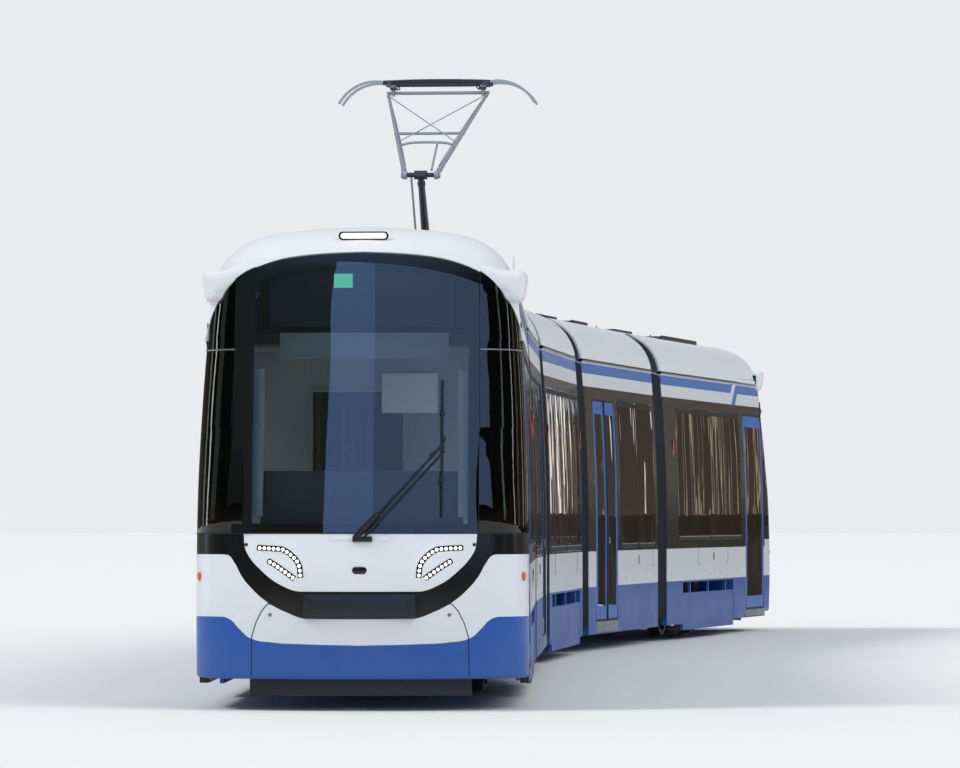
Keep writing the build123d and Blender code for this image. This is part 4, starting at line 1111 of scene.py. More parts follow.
# Ends that carry a bellows. Columns: sections, y of the end, direction out of the section, number in the names
OPEN_ENDS = (
    (CABS, CAB_LENGTH, 1, 1), (SALOONS, 0.0, -1, 2), (SALOONS, SALOON_LENGTH, 1, 1), (CENTRE, 0.0, -1, 2),
    (CENTRE, CENTRE_LENGTH, 1, 1),
)


def section_ends():
    for sections, y, out, number in OPEN_ENDS:
        clamp = end_frame(f"bellows_frame_{number}", *sorted((y + out * 0.001, y + out * 0.03)))
        dress(clamp, sections, seal_rubber, "bellows_rubber")
        flange = cowl_end(f"cowl_end_{number}", *sorted((y + out * 0.001, y + out * 0.05)))
        dress(flange, sections, band_rubber, "roof_paint")


# Body sides

# Outline of the rain gutter. Columns: distance out from the eaves, height
GUTTER = ((-0.03, 2.985), (0.004, 2.985), (0.01, 2.978), (0.01, 2.962), (0.003, EAVES_Z), (-0.03, EAVES_Z))


def gutter(y0, y1):
    """Aluminium rain gutter along the eaves."""
    parts = []
    for side in SIDES:
        rows = [[(side * (side_x(EAVES_Z) + dx), y, z) for dx, z in GUTTER] for y in (y0, y1)]
        parts.append(outwards(skin("gutter", rows, closed=True)))
    return smooth(bevelled(joined("eaves_gutter", parts), 0.0015), 40)


def frame_round(y0, y1, low, high, width, proud, corner):
    """Border round an opening in both sides: a flat strip that follows the side, with rounded corners."""
    outline = []
    for cy, cz, first in (
        (y1 - corner, high - corner, 0), (y0 + corner, high - corner, 90), (y0 + corner, low + corner, 180),
        (y1 - corner, low + corner, 270),
    ):
        for degrees_round in spread(first, first + 90, 5):
            a = radians(degrees_round)
            outline.append((cy + corner * cos(a), cz + corner * sin(a), cos(a), sin(a)))
    under = -0.004
    rows = [
        [(side_x(z - offset * nz, -level), y - offset * ny, z - offset * nz) for y, z, ny, nz in outline]
        for offset, level in ((0.0, under), (0.0, proud), (width, proud), (width, under), (0.0, under))
    ]
    return outwards(skin("frame_round", rows, closed=True))


def window_seals(windows):
    """Black seal round each pane."""
    gap = 0.012
    frames = [
        frame_round(y0 + gap, y1 - gap, low + gap, high - gap, 0.05, 0.0005, 0.03) for y0, y1, low, high in windows
    ]
    return smooth(mirrored(joined("window_seals", frames)), 40)


def sill_strips(windows):
    """Stainless strip along the foot of the panes."""
    parts = []
    for y0, y1, low, _ in windows:
        z = low + 0.062
        for side in SIDES:
            line = [(side * side_x(z, -0.001), y, z) for y in spread(y0 + 0.05, y1 - 0.05, 6)]
            parts.append(rod("strip", line, 0.006, 1))
    return whole("sill_strips", parts, 50)


def markers(places):
    """Orange reflex markers: upright lenses in black holders. Columns: y, low, high."""
    lenses, holders = [], []
    for y, low, high in places:
        x = side_x((low + high) / 2)
        lenses.append(slab("lens", x - 0.01, x + 0.009, y - 0.014, y + 0.014, low, high, 0.006, 3))
        holders.append(slab("holder", x - 0.012, x + 0.005, y - 0.021, y + 0.021, low - 0.008, high + 0.008, 0.006, 3))
    return [
        smooth(mirrored(joined(name, parts)), 40)
        for name, parts in (("marker_lenses", lenses), ("marker_holders", holders))
    ]


def hatch_seams(places):
    """Seams of the service hatches in the side's white part. Columns: y, step of the seam's foot along the side."""
    parts = []
    for y, reach in places:
        for side in SIDES:
            path = ((0, 1.0), (0, 0.83), (reach, 0.83), (reach, 0.8))
            parts.append(rod("hatch", [(side * (side_x(z) - 0.001), y + dy, z) for dy, z in path], 0.0035, 2))
    return joined("hatch_seams", parts)


# Columns: sections, start and end of the gutter, windows as (start, end, low, high), hatches, markers
SIDE_SETS = (
    (
        CABS, (0.95, CAB_LENGTH - 0.004), ((2.56, 4.63, 1.08, 2.6), (4.64, 6.71, 1.08, 2.6)),
        ((5.48, -0.07), (3.53, 0.07)), ((6.93, 2.05, 2.23), (4.47, 0.86, 0.94)),
    ),
    (
        SALOONS, (0.004, SALOON_LENGTH - 0.004), ((0.18, 1.32, 1.015, 2.6), (1.33, 2.48, 1.015, 2.6)),
        ((0.3, 0.05),), ((1.3, 0.86, 0.94),),
    ),
    (
        CENTRE, (0.004, CENTRE_LENGTH - 0.004), ((0.1, 1.91, 1.015, 2.6), (1.92, 3.73, 1.015, 2.6)),
        ((0.6, 0.06), (3.2, -0.06)), ((0.06, 2.05, 2.23), (3.77, 2.05, 2.23)),
    ),
)


def body_sides():
    for sections, span, windows, hatches, places in SIDE_SETS:
        lenses, holders = markers(places)
        dress_all(
            sections,
            (gutter(*span), bare_steel, "shell_paint"),
            (window_seals(windows), seal_rubber),
            (sill_strips(windows), bare_steel),
            (hatch_seams(hatches), seal_rubber),
            (lenses, amber, "glass"),
            (holders, black_gloss),
        )


# Doors

def door_seals(doors, leaves):
    """Rubber round each doorway and between the leaves."""
    y0, y1, low, high = doors
    parts = [frame_round(y0 - 0.004, y1 + 0.004, low - 0.004, high + 0.004, 0.022, 0.002, 0.04)]
    if leaves == 2:
        line = [(side_x(z) + 0.001, (y0 + y1) / 2, z) for z in spread(low + 0.01, high - 0.01, 12)]
        parts.append(rod("nosing", line, 0.013, 2))
    return smooth(mirrored(joined("door_seals", parts)), 40)


def door_handles(places):
    """Yellow grab handles behind the leaves' panes."""
    low, high = 1.2, 1.4
    x = side_x((low + high) / 2) - 0.075
    path = ((x, low), (x - 0.03, low + 0.04), (x - 0.03, high - 0.04), (x, high))
    parts = [rod("handle", [(across, y, z) for across, z in path], 0.014, 3, True) for y in places]
    return smooth(mirrored(joined("door_handles", parts)), 60)


def step_plates(doors):
    """Ribbed step plate below a doorway."""
    y0, y1, low, _ = doors
    out = side_x(0.3) + 0.004
    parts = [slab("plate", 1.1, out, y0 + 0.01, y1 - 0.01, 0.165, low - 0.006, 0.006)]
    parts += [rod("rib", [(out, y0 + 0.03, z), (out, y1 - 0.03, z)], 0.005, 1) for z in (0.19, 0.215, 0.24)]
    return smooth(mirrored(joined("step_plates", parts)), 40)


def door_buttons(y):
    """Round push buttons in raised rims."""
    z = 1.12
    bpy.ops.object.select_all(action="DESELECT")
    bpy.ops.mesh.primitive_cylinder_add(
        vertices=28, radius=0.035, depth=0.014, location=(side_x(z) + 0.004, y, z), rotation=(0, pi / 2, 0),
    )
    button = bpy.context.object
    button.name = "door_buttons"
    bpy.ops.object.transform_apply(location=True, rotation=True)
    return smooth(mirrored(bevelled(button, 0.004, 3)), 40)


def doorways():
    # Columns: sections, doorway as (start, end, low, high), leaves, y of each handle, y of the button
    for sections, doors, leaves, handles, button in (
        (CABS, (0.99, 2.27, 0.25, 2.6), 1, (1.16,), 2.22),
        (SALOONS, (2.66, 4.02, 0.28, 2.58), 2, (3.2, 3.48), 3.22),
    ):
        dress_all(
            sections,
            (door_seals(doors, leaves), seal_rubber),
            (door_handles(handles), pole_yellow),
            (step_plates(doors), laminate, "steel"),
            (door_buttons(button), bare_steel),
        )


# Inside

CLOTH_MOVE = 0.014


def cushion(name, width, length, thick):
    """Upholstered foam pad about the origin, lying flat: swelled under pressure, then smoothed."""
    pad = slab(name, -width / 2, width / 2, -length / 2, length / 2, 0, thick, thick * 0.3, 3)
    modified(pad, "REMESH", mode="VOXEL", voxel_size=0.012)
    rest = [v.co.copy() for v in pad.data.vertices]
    cloth = pad.modifiers.new("cloth", "CLOTH")
    cloth.settings.use_pressure = True
    cloth.settings.uniform_pressure_force = 3.0
    cloth.settings.effector_weights.gravity = 0
    scene_now = bpy.context.scene
    for step in range(1, 16):
        scene_now.frame_set(step)
    only(pad)
    bpy.ops.object.modifier_apply(modifier=cloth.name)
    scene_now.frame_set(1)
    for vertex, home in zip(pad.data.vertices, rest):
        move = vertex.co - home
        if move.length > CLOTH_MOVE:
            vertex.co = home + move * (CLOTH_MOVE / move.length)
    return smooth(pad, 80)


SEAT_X = 0.86

# Rows of seats. Columns: sections, height that the seats stand on, rows as (y of the back's front face, way it faces)
SEAT_SETS = (
    (CABS, SEAT_BOX_Z, ((3.6, 1), (4.7, -1), (4.9, 1), (6.0, -1))),
    (SALOONS, FLOOR_Z, ((0.4, 1), (1.6, -1))),
    (CENTRE, SEAT_BOX_Z, ((0.7, 1), (1.85, -1), (2.0, 1), (3.15, -1))),
)


def seat_shell():
    """Moulded shell of one seat on its pedestal, in a frame where the seat faces +Y."""
    outline = (
        (0.36, 0.36), (0.425, 0.375), (0.43, 0.365), (0.42, 0.345), (0.05, 0.33), (-0.045, 0.345), (-0.075, 0.42),
        (-0.09, 1.1), (-0.075, 1.118), (-0.06, 1.1), (-0.04, 0.44), (0.0, 0.375),
    )
    shell = capped("shell", [[(x, y, z) for y, z in outline] for x in (-0.215, -0.2, 0.2, 0.215)])
    foot = slab("foot", -0.15, 0.15, 0.02, 0.28, 0.003, 0.335, 0.015, 3)
    return whole("seat_shell", [bevelled(shell, 0.005), foot])


def rows_of(piece, rows, base, name):
    """The piece on every seat of a section."""
    made = []
    for y, facing in rows:
        turn = Matrix.Rotation(0 if facing > 0 else pi, 4, "Z")
        made += [at(piece, Matrix.Translation((side * SEAT_X, y, base)) @ turn, name) for side in SIDES]
    return joined(name, made)


def passenger_seats():
    shell = seat_shell()
    seat_pad = cushion("seat_pad", 0.4, 0.36, 0.045)
    back_pad = cushion("back_pad", 0.38, 0.62, 0.035)
    seat_pad.data.transform(Matrix.Translation((0, 0.21, 0.372)))
    upright = Matrix.Rotation(radians(91.5), 4, "X") @ Matrix.Rotation(pi, 4, "Y")
    back_pad.data.transform(Matrix.Translation((0, -0.052, 0.765)) @ upright)
    pads = joined("pads", [seat_pad, back_pad])
    for sections, base, rows in SEAT_SETS:
        shells = rows_of(shell, rows, base, "seat_shells")
        dress(shells, sections, laminate, "interior_plastic", replaced=("seats",))
        for piece in dress(rows_of(pads, rows, base, "seat_pads"), sections, moquette, "seat_fabric"):
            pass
    removed(shell)
    removed(pads)


def driver_seat():
    parts = [
        slab("column", -0.12, 0.12, 1.4, 1.62, 0.352, 0.7, 0.03, 3),
        slab("pan", -0.24, 0.24, 1.28, 1.72, 0.7, 0.77, 0.025, 3),
        slab("back", -0.23, 0.23, 1.69, 1.74, 0.78, 1.5, 0.022, 3),
    ]
    parts += [side_slab("arm", side, 0.225, 0.265, 1.4, 1.68, 0.93, 0.965, 0.012) for side in SIDES]
    dress(whole("driver_seat_frame", parts), CABS, dash_plastic, "interior_plastic")
    seat_pad = cushion("pad", 0.44, 0.4, 0.08)
    seat_pad.data.transform(Matrix.Translation((0, 1.47, 0.765)))
    back_pad = cushion("pad", 0.42, 0.68, 0.06)
    back_pad.data.transform(Matrix.Translation((0, 1.69, 1.16)) @ Matrix.Rotation(pi / 2, 4, "X"))
    for piece in dress(joined("driver_seat_pads", [seat_pad, back_pad]), CABS, moquette, "seat_fabric"):
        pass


def driver_desk():
    """Desk with its glare shield, screens and the levers on it."""
    outline = (
        (0.43, 0.355), (0.48, 0.355), (0.52, 0.99), (0.84, 0.99), (0.87, 1.03), (0.86, 1.055), (0.62, 1.15),
        (0.53, 1.62), (0.515, 1.675), (0.49, 1.69), (0.462, 1.685), (0.45, 1.66), (0.435, 1.15),
    )
    desk = capped("desk", [[(x, y, z) for y, z in outline] for x in (-0.73, 0.73)])
    parts = [bevelled(desk, 0.008)]
    for x, half in ((-0.38, 0.15), (0.0, 0.17), (0.38, 0.15)):
        screen = slab("screen", x - half, x + half, -0.02, 0.02, -0.11, 0.11, 0.012, 3)
        screen.data.transform(Matrix.Translation((0, 0.63, 1.27)) @ Matrix.Rotation(radians(-14), 4, "X"))
        parts.append(screen)
    shield = []
    for share in spread(-1, 1, 14):
        bulge = cos(share * pi / 2)
        shield.append((share * 0.5, 0.57 + 0.03 * bulge, 1.44 + 0.07 * bulge))
    parts.append(rod("binnacle", shield, 0.02))
    dress(whole("driver_desk", parts), CABS, desk_grey, "interior_plastic", replaced=("interior",))
    controls = []
    for x in (-0.28, 0.28):
        controls.append(rod("stem", [(x, 0.75, 1.08), (x, 0.73, 1.19)], 0.009))
        controls.append(slab("knob", x - 0.022, x + 0.022, 0.705, 0.755, 1.185, 1.225, 0.014, 3))
    for x in spread(-0.18, 0.18, 6):
        controls.append(slab("button", x - 0.012, x + 0.012, 0.775, 0.8, 1.085, 1.1))
    dress(whole("desk_controls", controls), CABS, bare_steel)


def cab_partition():
    """Wall behind the driver, with its window and the frame round it."""
    def keep_inside(place):
        limit = side_x(place.z, 0.068)
        place.x = min(max(place.x, -limit), limit)

    # Columns: x0, x1, z0, z1
    panels = (
        (-1.09, -0.45, 0.355, 2.61), (0.25, 1.09, 0.355, 2.61), (-0.45, 0.25, 0.355, 1.4), (-0.45, 0.25, 2.3, 2.61),
    )
    trims = ((-0.47, -0.44, 1.38, 2.32), (0.24, 0.27, 1.38, 2.32), (-0.47, 0.27, 1.37, 1.4), (-0.47, 0.27, 2.3, 2.33))
    parts = [slab("panel", x0, x1, 2.302, 2.338, z0, z1, 0.002, 1) for x0, x1, z0, z1 in panels]
    parts += [slab("trim", x0, x1, 2.292, 2.348, z0, z1, 0.005) for x0, x1, z0, z1 in trims]
    wall = reshaped(joined("cab_partition", parts), keep_inside)
    for pane in dress(slab("partition_pane", -0.44, 0.24, 2.312, 2.326, 1.4, 2.3, 0.003, 1), CABS, side_glass, "glass"):
        lets_light_in(pane)
    dress_all(
        CABS,
        (smooth(slab("switch_panel", 0.08, 0.5, 2.27, 2.3, 2.14, 2.44, 0.01), 40), trim_white, "interior_plastic"),
        (smooth(wall, 40), laminate, "interior_plastic"),
    )


def floors_and_linings():
    """Vinyl floor, and ceiling panels with light strips, inside each section."""
    # Columns: sections, start and end of the cavity, start and end of the raised floor over the bogie
    for sections, y0, y1, raised in (
        (CABS, 0.94, CAB_LENGTH - 0.062, (3.37, 6.21)),
        (SALOONS, 0.062, SALOON_LENGTH - 0.062, None),
        (CENTRE, 0.062, CENTRE_LENGTH - 0.062, (0.495, 3.335)),
    ):
        spans = [(y0, y1)] if raised is None else [(y0, raised[0] - 0.003), (raised[1] + 0.003, y1)]
        mats = [slab("mat", -1.12, 1.12, a, b, FLOOR_Z + 0.001, FLOOR_Z + 0.005, 0.001, 1) for a, b in spans]
        if raised is not None:
            a, b = raised
            mats.append(slab("mat", -0.555, 0.555, a + 0.003, b - 0.003, 0.451, 0.455, 0.001, 1))
            for side in SIDES:
                mats.append(side_slab("mat", side, 0.562, 1.12, a + 0.002, b - 0.002, 0.721, 0.7245, 0.001, 1))
        panels = [slab("panel", -0.42, 0.42, y0 + 0.02, y1 - 0.02, 2.598, 2.618, 0.006)]
        lights = []
        for side in SIDES:
            panels.append(side_slab("panel", side, 0.55, 1.05, y0 + 0.02, y1 - 0.02, 2.596, 2.618, 0.006))
            lights.append(side_slab("strip", side, 0.43, 0.54, y0 + 0.05, y1 - 0.05, 2.6, 2.617))
        dress_all(
            sections,
            (joined("floor_covering", mats), floor_vinyl, "interior_plastic"),
            (whole("ceiling_panels", panels), laminate, "interior_plastic"),
            (whole("ceiling_lights", lights), light_strip, "glass"),
        )


def handrails():
    """Yellow poles at the doorways, with rails under the ceiling between them."""
    # Columns: sections, distance from the centre line, y of the poles
    for sections, out, ends in ((SALOONS, 0.6, (2.58, 4.1)), (CABS, 0.58, (3.3, 6.3)), (CENTRE, 0.58, (0.42, 3.41))):
        parts = []
        for side in SIDES:
            x = side * out
            parts += [rod("pole", [(x, y, FLOOR_Z + 0.006), (x, y, 2.595)], 0.0175) for y in ends]
            parts.append(rod("rail", [(x, y, 2.02) for y in ends], 0.016))
        dress(whole("handrails", parts, 60), sections, pole_yellow, "interior_plastic")


# Behind the windscreen

def behind_front(name, x0, x1, low, high, inset, columns=20, rows=6, thick=0.01, under_arch=0.0):
    """A panel that follows the inside of the windscreen."""
    panel = front_grid(
        name, x0, x1, columns, rows, inset, lambda x: low, lambda x: min(high, arch_z(x) - under_arch),
    )
    return smooth(thickened(panel, thick), 40)


def screen_interior():
    """What shows through the windscreen: blank display, green panel, sun blind, side trims and lining."""
    trims = [behind_front("trim", side * 0.70, side * 0.772, 1.36, 2.42, 0.085, 3, 12, 0.02) for side in SIDES]
    lining = behind_front("header_lining", -0.8, 0.8, 2.68, 3.2, 0.26, under_arch=0.08, thick=0.02)
    dress_all(
        CABS,
        (behind_front("display_screen", -0.68, 0.66, 2.74, 3.16, 0.11, under_arch=0.13), display_black),
        (behind_front("signal_panel", -0.21, -0.075, 3.02, 3.12, 0.1), sign_green, "glass"),
        (behind_front("sun_blind", -0.6, 0.62, 2.5, 2.69, 0.16, thick=0.006), blind_film, "glass"),
        (joined("pillar_trims", trims), trim_white, "interior_plastic"),
        (lining, black_gloss, "interior_plastic"),
    )


# Roof

SLAT_PITCH = 0.075


def louvre_bank(y0, y1, half, low, high):
    """A tray of slanted slats between side rails."""
    inner = half - 0.03
    parts = [side_slab("rail", side, inner, half, y0, y1, low, high, 0.006) for side in SIDES]
    parts += [slab("end", -inner, inner, y, y + 0.03, low, high - 0.008, 0.005) for y in (y0, y1 - 0.03)]
    slat = slab("slat", -inner, inner, -0.03, 0.03, -0.004, 0.004, 0.003, 1)
    slat.data.transform(Matrix.Rotation(radians(38), 4, "X"))
    for k in range(int((y1 - y0 - 0.1) / SLAT_PITCH) + 1):
        parts.append(at(slat, Matrix.Translation((0, y0 + 0.05 + k * SLAT_PITCH, (low + high) / 2)), "slat"))
    removed(slat)
    return whole("roof_louvres", parts)


def ring(name, centre, radius, wire):
    around = [centre + radius * Vector((cos(a), sin(a), 0)) for a in spread(0, 2 * pi, 28)]
    return rod(name, around, wire, 2)


def fan_guards(case):
    """Round wire guards with spokes, over the fans in a case's lid."""
    y0, _, half, top = case
    parts = []
    for side in SIDES:
        centre = Vector((side * half * 0.45, y0 + 0.42, top + 0.035))
        parts += [ring("guard", centre, radius, 0.004) for radius in (0.21, 0.165, 0.12, 0.075, 0.03)]
        for k in range(6):
            reach = Vector((cos(pi * k / 6), sin(pi * k / 6), 0)) * 0.21
            parts.append(rod("spoke", [centre - reach, centre + reach], 0.004, 2))
        parts.append(ring("collar", centre - Vector((0, 0, 0.018)), 0.222, 0.016))
    return whole("fan_guards", parts, 50)


def case_lids(cases):
    """Lids of the roof cases with stiffening ribs, and their catches and lifting eyes."""
    lids, fittings = [], []
    for y0, y1, half, top in cases:
        lids.append(slab("lid", -half - 0.008, half + 0.008, y0 - 0.008, y1 + 0.008, top - 0.018, top + 0.012, 0.01, 3))
        for y in spread(y0, y1, int((y1 - y0) / 0.4))[1:-1]:
            lids.append(slab("rib", -half * 0.86, half * 0.86, y - 0.025, y + 0.025, top + 0.008, top + 0.024, 0.007))
        for side in SIDES:
            for share in (0.12, 0.38, 0.62, 0.88):
                y = y0 + (y1 - y0) * share
                spans = (half + 0.004, half + 0.02, y - 0.03, y + 0.03, top - 0.075, top + 0.006)
                fittings.append(side_slab("catch", side, *spans, 0.005))
            for y in (y0 + 0.18, y1 - 0.18):
                eye = [
                    (side * half * 0.93, y + 0.03 * cos(a), top + 0.01 + 0.035 * sin(a)) for a in spread(0, pi, 6)
                ]
                fittings.append(rod("lifting_eye", eye, 0.006, 2))
    return whole("case_lids", lids), whole("case_fittings", fittings)


def roof_lines(y0, y1, cases):
    """Pipes on the roof deck beside the cases, held by clips, and the cases' cables."""
    pipes, clips = [], []
    for side in SIDES:
        for x, z, radius in ((0.78, 3.015, 0.018), (0.83, 3.018, 0.022), (0.885, 3.012, 0.014)):
            pipes.append(rod("pipe", [(side * x, y0 + 0.03, z), (side * x, y1 - 0.03, z)], radius))
        for y in spread(y0 + 0.2, y1 - 0.2, max(int((y1 - y0) / 0.7), 2) - 1):
            clips.append(side_slab("clip", side, 0.755, 0.905, y - 0.02, y + 0.02, 2.992, 3.046, 0.008))
    for start_y, end_y, half, top in cases:
        for side in SIDES:
            for y in (start_y + 0.5, end_y - 0.4):
                drop = [
                    (side * x, y + dy, z) for x, dy, z in (
                        (half + 0.002, 0, top - 0.2), (half + 0.04, 0, top - 0.2), (half + 0.07, 0, top - 0.26),
                        (half + 0.085, 0, 3.06), (0.78, 0.03, 3.03),
                    )
                ]
                pipes.append(rod("cable", drop, 0.014, smooth_line=True))
    return whole("roof_pipes", pipes, 60), whole("pipe_clips", clips)


# Columns: sections, start, end, cases as (start, end, half width, top), louvres as (start, end, half width, low, high)
ROOF_SETS = (
    (
        CABS, 2.32, 7.42, ((2.5, 4.9, 0.69, 3.39), (5.05, 7.25, 0.64, 3.42)),
        ((2.6, 4.8, 0.66, 3.405, 3.475), (6.1, 7.15, 0.55, 3.435, 3.475)),
    ),
    (
        SALOONS, 0.01, 4.47, ((0.3, 2.0, 0.64, 3.41), (2.2, 4.0, 0.6, 3.37)),
        ((0.95, 1.9, 0.58, 3.425, 3.478), (2.75, 3.9, 0.56, 3.385, 3.475)),
    ),
    (CENTRE, 0.01, 3.82, ((2.35, 3.6, 0.64, 3.39),), ((2.45, 3.5, 0.56, 3.405, 3.472),)),
)


def roofs():
    for sections, y0, y1, cases, banks in ROOF_SETS:
        lids, fittings = case_lids(cases)
        pipes, clips = roof_lines(y0, y1, cases)
        dress_all(
            sections,
            (lids, roof_paint, "roof_paint"),
            (fittings, bare_steel),
            (pipes, seal_rubber),
            (clips, bare_steel),
            (slab("roof_deck", -1.02, 1.02, y0 + 0.004, y1 - 0.004, 2.991, 2.996, 0.002, 1), roof_mat),
        )
        for place in banks:
            dress(louvre_bank(*place), sections, arm_steel)
    dress(fan_guards(ROOF_SETS[0][3][1]), CABS, arm_steel)
    dress(fan_guards(ROOF_SETS[1][3][0]), SALOONS, arm_steel)


# Current collector, in the centre section's frame

COLLECTOR_Y = 0.6
SHAFT_Z = 3.45
KNEE = Vector((0, -0.2927, 4.5926))
APEX = Vector((0, 1.2575, 5.4876))
HEAD_Z = APEX.z + 0.11
KNEE_HALF = 0.15
APEX_HALF = 0.49


def insulators():
    """Ribbed insulator with its caps, on each foot of the base frame."""
    sheds = [(0.001, 0.0), (0.066, 0.0), (0.066, 0.062), (0.03, 0.07)]
    for k in range(4):
        z = 0.082 + k * 0.045
        sheds += [(0.03, z), (0.066, z + 0.008), (0.068, z + 0.014), (0.032, z + 0.03)]
    sheds += [(0.03, 0.262), (0.001, 0.262)]
    rows = [[(r * cos(a), r * sin(a), z) for r, z in sheds] for a in spread(0, 2 * pi, 28)]
    foot = outwards(skin("foot", rows), 0.0001)
    made = [
        at(foot, Matrix.Translation((x, COLLECTOR_Y + dy, 2.994)), "insulator")
        for x in (0.5, -0.5) for dy in (-0.25, 1.25)
    ]
    removed(foot)
    return whole("insulators", made)


def base_fittings():
    """Lifting springs with their rods and anchors, and the head's buffers, on the collector's base frame."""
    turns = 22
    height = SHAFT_Z - 0.04
    parts = []
    for side in SIDES:
        x = side * 0.31
        coil = []
        for share in spread(0, 1, turns * 8):
            a = 2 * pi * turns * share
            coil.append((x + 0.034 * cos(a), COLLECTOR_Y + 0.12 + 0.6 * share, height + 0.034 * sin(a)))
        parts += [
            rod("spring", coil, 0.006, 2),
            rod("spring_rod", [(x, COLLECTOR_Y + 0.05, height), (x, COLLECTOR_Y + 0.86, height)], 0.011),
            slab("anchor", x - 0.03, x + 0.03, COLLECTOR_Y + 0.84, COLLECTOR_Y + 0.89, 3.29, SHAFT_Z, 0.008),
            slab("cross_foot", x - 0.05, x + 0.05, COLLECTOR_Y + 0.83, COLLECTOR_Y + 1.25, 3.28, 3.31, 0.008),
            rod("buffer", [(x, COLLECTOR_Y + 1.25, 3.3), (x, COLLECTOR_Y + 1.25, 3.41)], 0.02),
        ]
    return whole("collector_base_fittings", parts)


def drive_box():
    return whole("collector_drive", [
        slab("box", 0.02, 0.16, COLLECTOR_Y + 0.2, COLLECTOR_Y + 0.62, 3.31, 3.42, 0.02, 3),
        rod("shaft", [(0.09, COLLECTOR_Y + 0.2, 3.365), (0.09, COLLECTOR_Y + 0.09, 3.4)], 0.016),
    ])


def arm_fittings():
    """Collars and cable on the lower arm."""
    root = Vector((0, COLLECTOR_Y, SHAFT_Z))
    parts = []
    for share, radius in ((0.1, 0.056), (0.5, 0.047), (0.93, 0.038)):
        parts.append(rod("collar", [root.lerp(KNEE, share - 0.012), root.lerp(KNEE, share + 0.012)], radius, 4))
    over = Vector((0, -0.05, 0.035))
    cable = [root.lerp(KNEE, share) + over * (1.1 - 0.3 * share) for share in (0.08, 0.2, 0.4, 0.6, 0.8, 0.95)]
    parts.append(rod("cable", cable, 0.009, smooth_line=True))
    return whole("lower_arm_fittings", parts, 50)


def on_tube(side, share, aside=(0, 0, 0)):
    """A point on or beside one of the upper frame's tubes."""
    low = Vector((side * KNEE_HALF, KNEE.y, KNEE.z))
    high = Vector((side * APEX_HALF, APEX.y, APEX.z))
    return low.lerp(high, share) + Vector(aside)


def frame_fittings():
    """Collars, braids, stays, brace and the knee's caps on the upper frame."""
    out = (0, -0.018, 0.03)
    parts = []
    for side in SIDES:
        for share in (0.06, 0.5, 0.96):
            ends = [on_tube(side, share - 0.008), on_tube(side, share + 0.008)]
            parts.append(rod("collar", ends, 0.0275 - 0.01 * share))
        wire = [
            on_tube(side, 0.08, (side * -0.02, 0, 0.02)), on_tube(side, 0.5, (side * -0.028, 0, 0.02)),
            on_tube(side, 0.95, (0, 0, 0.018)),
        ]
        parts.append(rod("braid", wire, 0.005, 2, smooth_line=True))
        parts.append(rod("cap", [(side * x, KNEE.y, KNEE.z) for x in (0.171, 0.186)], 0.03, 4))
        parts.append(rod("cross_stay", [on_tube(side, 0.92, out), on_tube(-side, 0.36, out)], 0.006, 2))
    middle = KNEE.lerp(APEX, 0.35)
    arch = []
    for across in spread(-1, 1, 8):
        rise = 1 - across ** 4
        arch.append((across * 0.268, middle.y + 0.02 * rise, middle.z + 0.035 * rise))
    parts.append(rod("arch_brace", arch, 0.013))
    parts.append(rod("post", [(0.1, KNEE.y + 0.04, KNEE.z + 0.05), (0.1, *arch[4][1:])], 0.011))
    return whole("upper_frame_fittings", parts, 50)


def head_fittings():
    """Carbon strips, their carriers, shunts and spring boxes."""
    carbons, metal = [], []
    foot = HEAD_Z - 0.037
    for y in (APEX.y - 0.14, APEX.y + 0.14):
        rows = []
        for k in range(-10, 11):
            crown = HEAD_Z + 0.004 + 0.012 * (1 - (k / 10) ** 2)
            rows.append([(k * 0.0522, y + dy, z) for dy, z in (
                (-0.022, foot), (-0.022, crown - 0.008), (-0.014, crown), (0.014, crown), (0.022, crown - 0.008),
                (0.022, foot),
            )])
        carbons.append(capped("carbon", rows))
        for side in SIDES:
            spans = (0.44, 0.5, y - 0.024, y + 0.024, HEAD_Z - 0.045, HEAD_Z - 0.004)
            metal.append(side_slab("carrier", side, *spans, 0.006))
            shunt = [
                (side * 0.40, y * 0.999, HEAD_Z - 0.035), (side * 0.36, (y + APEX.y) / 2, HEAD_Z - 0.085),
                (side * 0.44, APEX.y, HEAD_Z - 0.07),
            ]
            metal.append(rod("shunt", shunt, 0.006, 2, smooth_line=True))
    for side in SIDES:
        spans = (0.412, 0.468, APEX.y - 0.05, APEX.y + 0.05, HEAD_Z - 0.082, HEAD_Z - 0.05)
        metal.append(side_slab("spring_box", side, *spans, 0.01, 3))
    return whole("carbon_strips", carbons, 60), whole("head_fittings", metal)


def collector():
    strips, metal = head_fittings()
    for piece, finish, slot, body in (
        (insulators(), insulator, "black_plastic", None),
        (base_fittings(), arm_steel, "black_plastic", None),
        (drive_box(), roof_paint, "roof_paint", None),
        (arm_fittings(), arm_steel, "black_plastic", "lower_arm"),
        (frame_fittings(), frame_zinc, "black_plastic", "upper_arm"),
        (strips, carbon, "black_plastic", "head"),
        (metal, head_aluminium, "black_plastic", "head"),
    ):
        dress(piece, CENTRE, finish, slot, body)


cab_front()
folded_tunnels()
roof_curtains()
section_ends()
body_sides()
doorways()
passenger_seats()
driver_seat()
driver_desk()
cab_partition()
floors_and_linings()
handrails()
screen_interior()
roofs()
collector()


# Camera, floor and light

def camera():
    data = bpy.data.cameras.new("camera")
    data.lens = 207.3
    data.sensor_width = 36
    data.clip_end = 500
    eye = placed("camera", data)
    tilt = radians(1.385)
    look = Vector((-0.0991, 0.9951, 0)).normalized() * cos(tilt) + Vector((0, 0, sin(tilt)))
    eye.location = (5.733, -54.114, 1.353)
    eye.rotation_mode = "QUATERNION"
    eye.rotation_quaternion = look.to_track_quat("-Z", "Y")
    bpy.context.scene.camera = eye


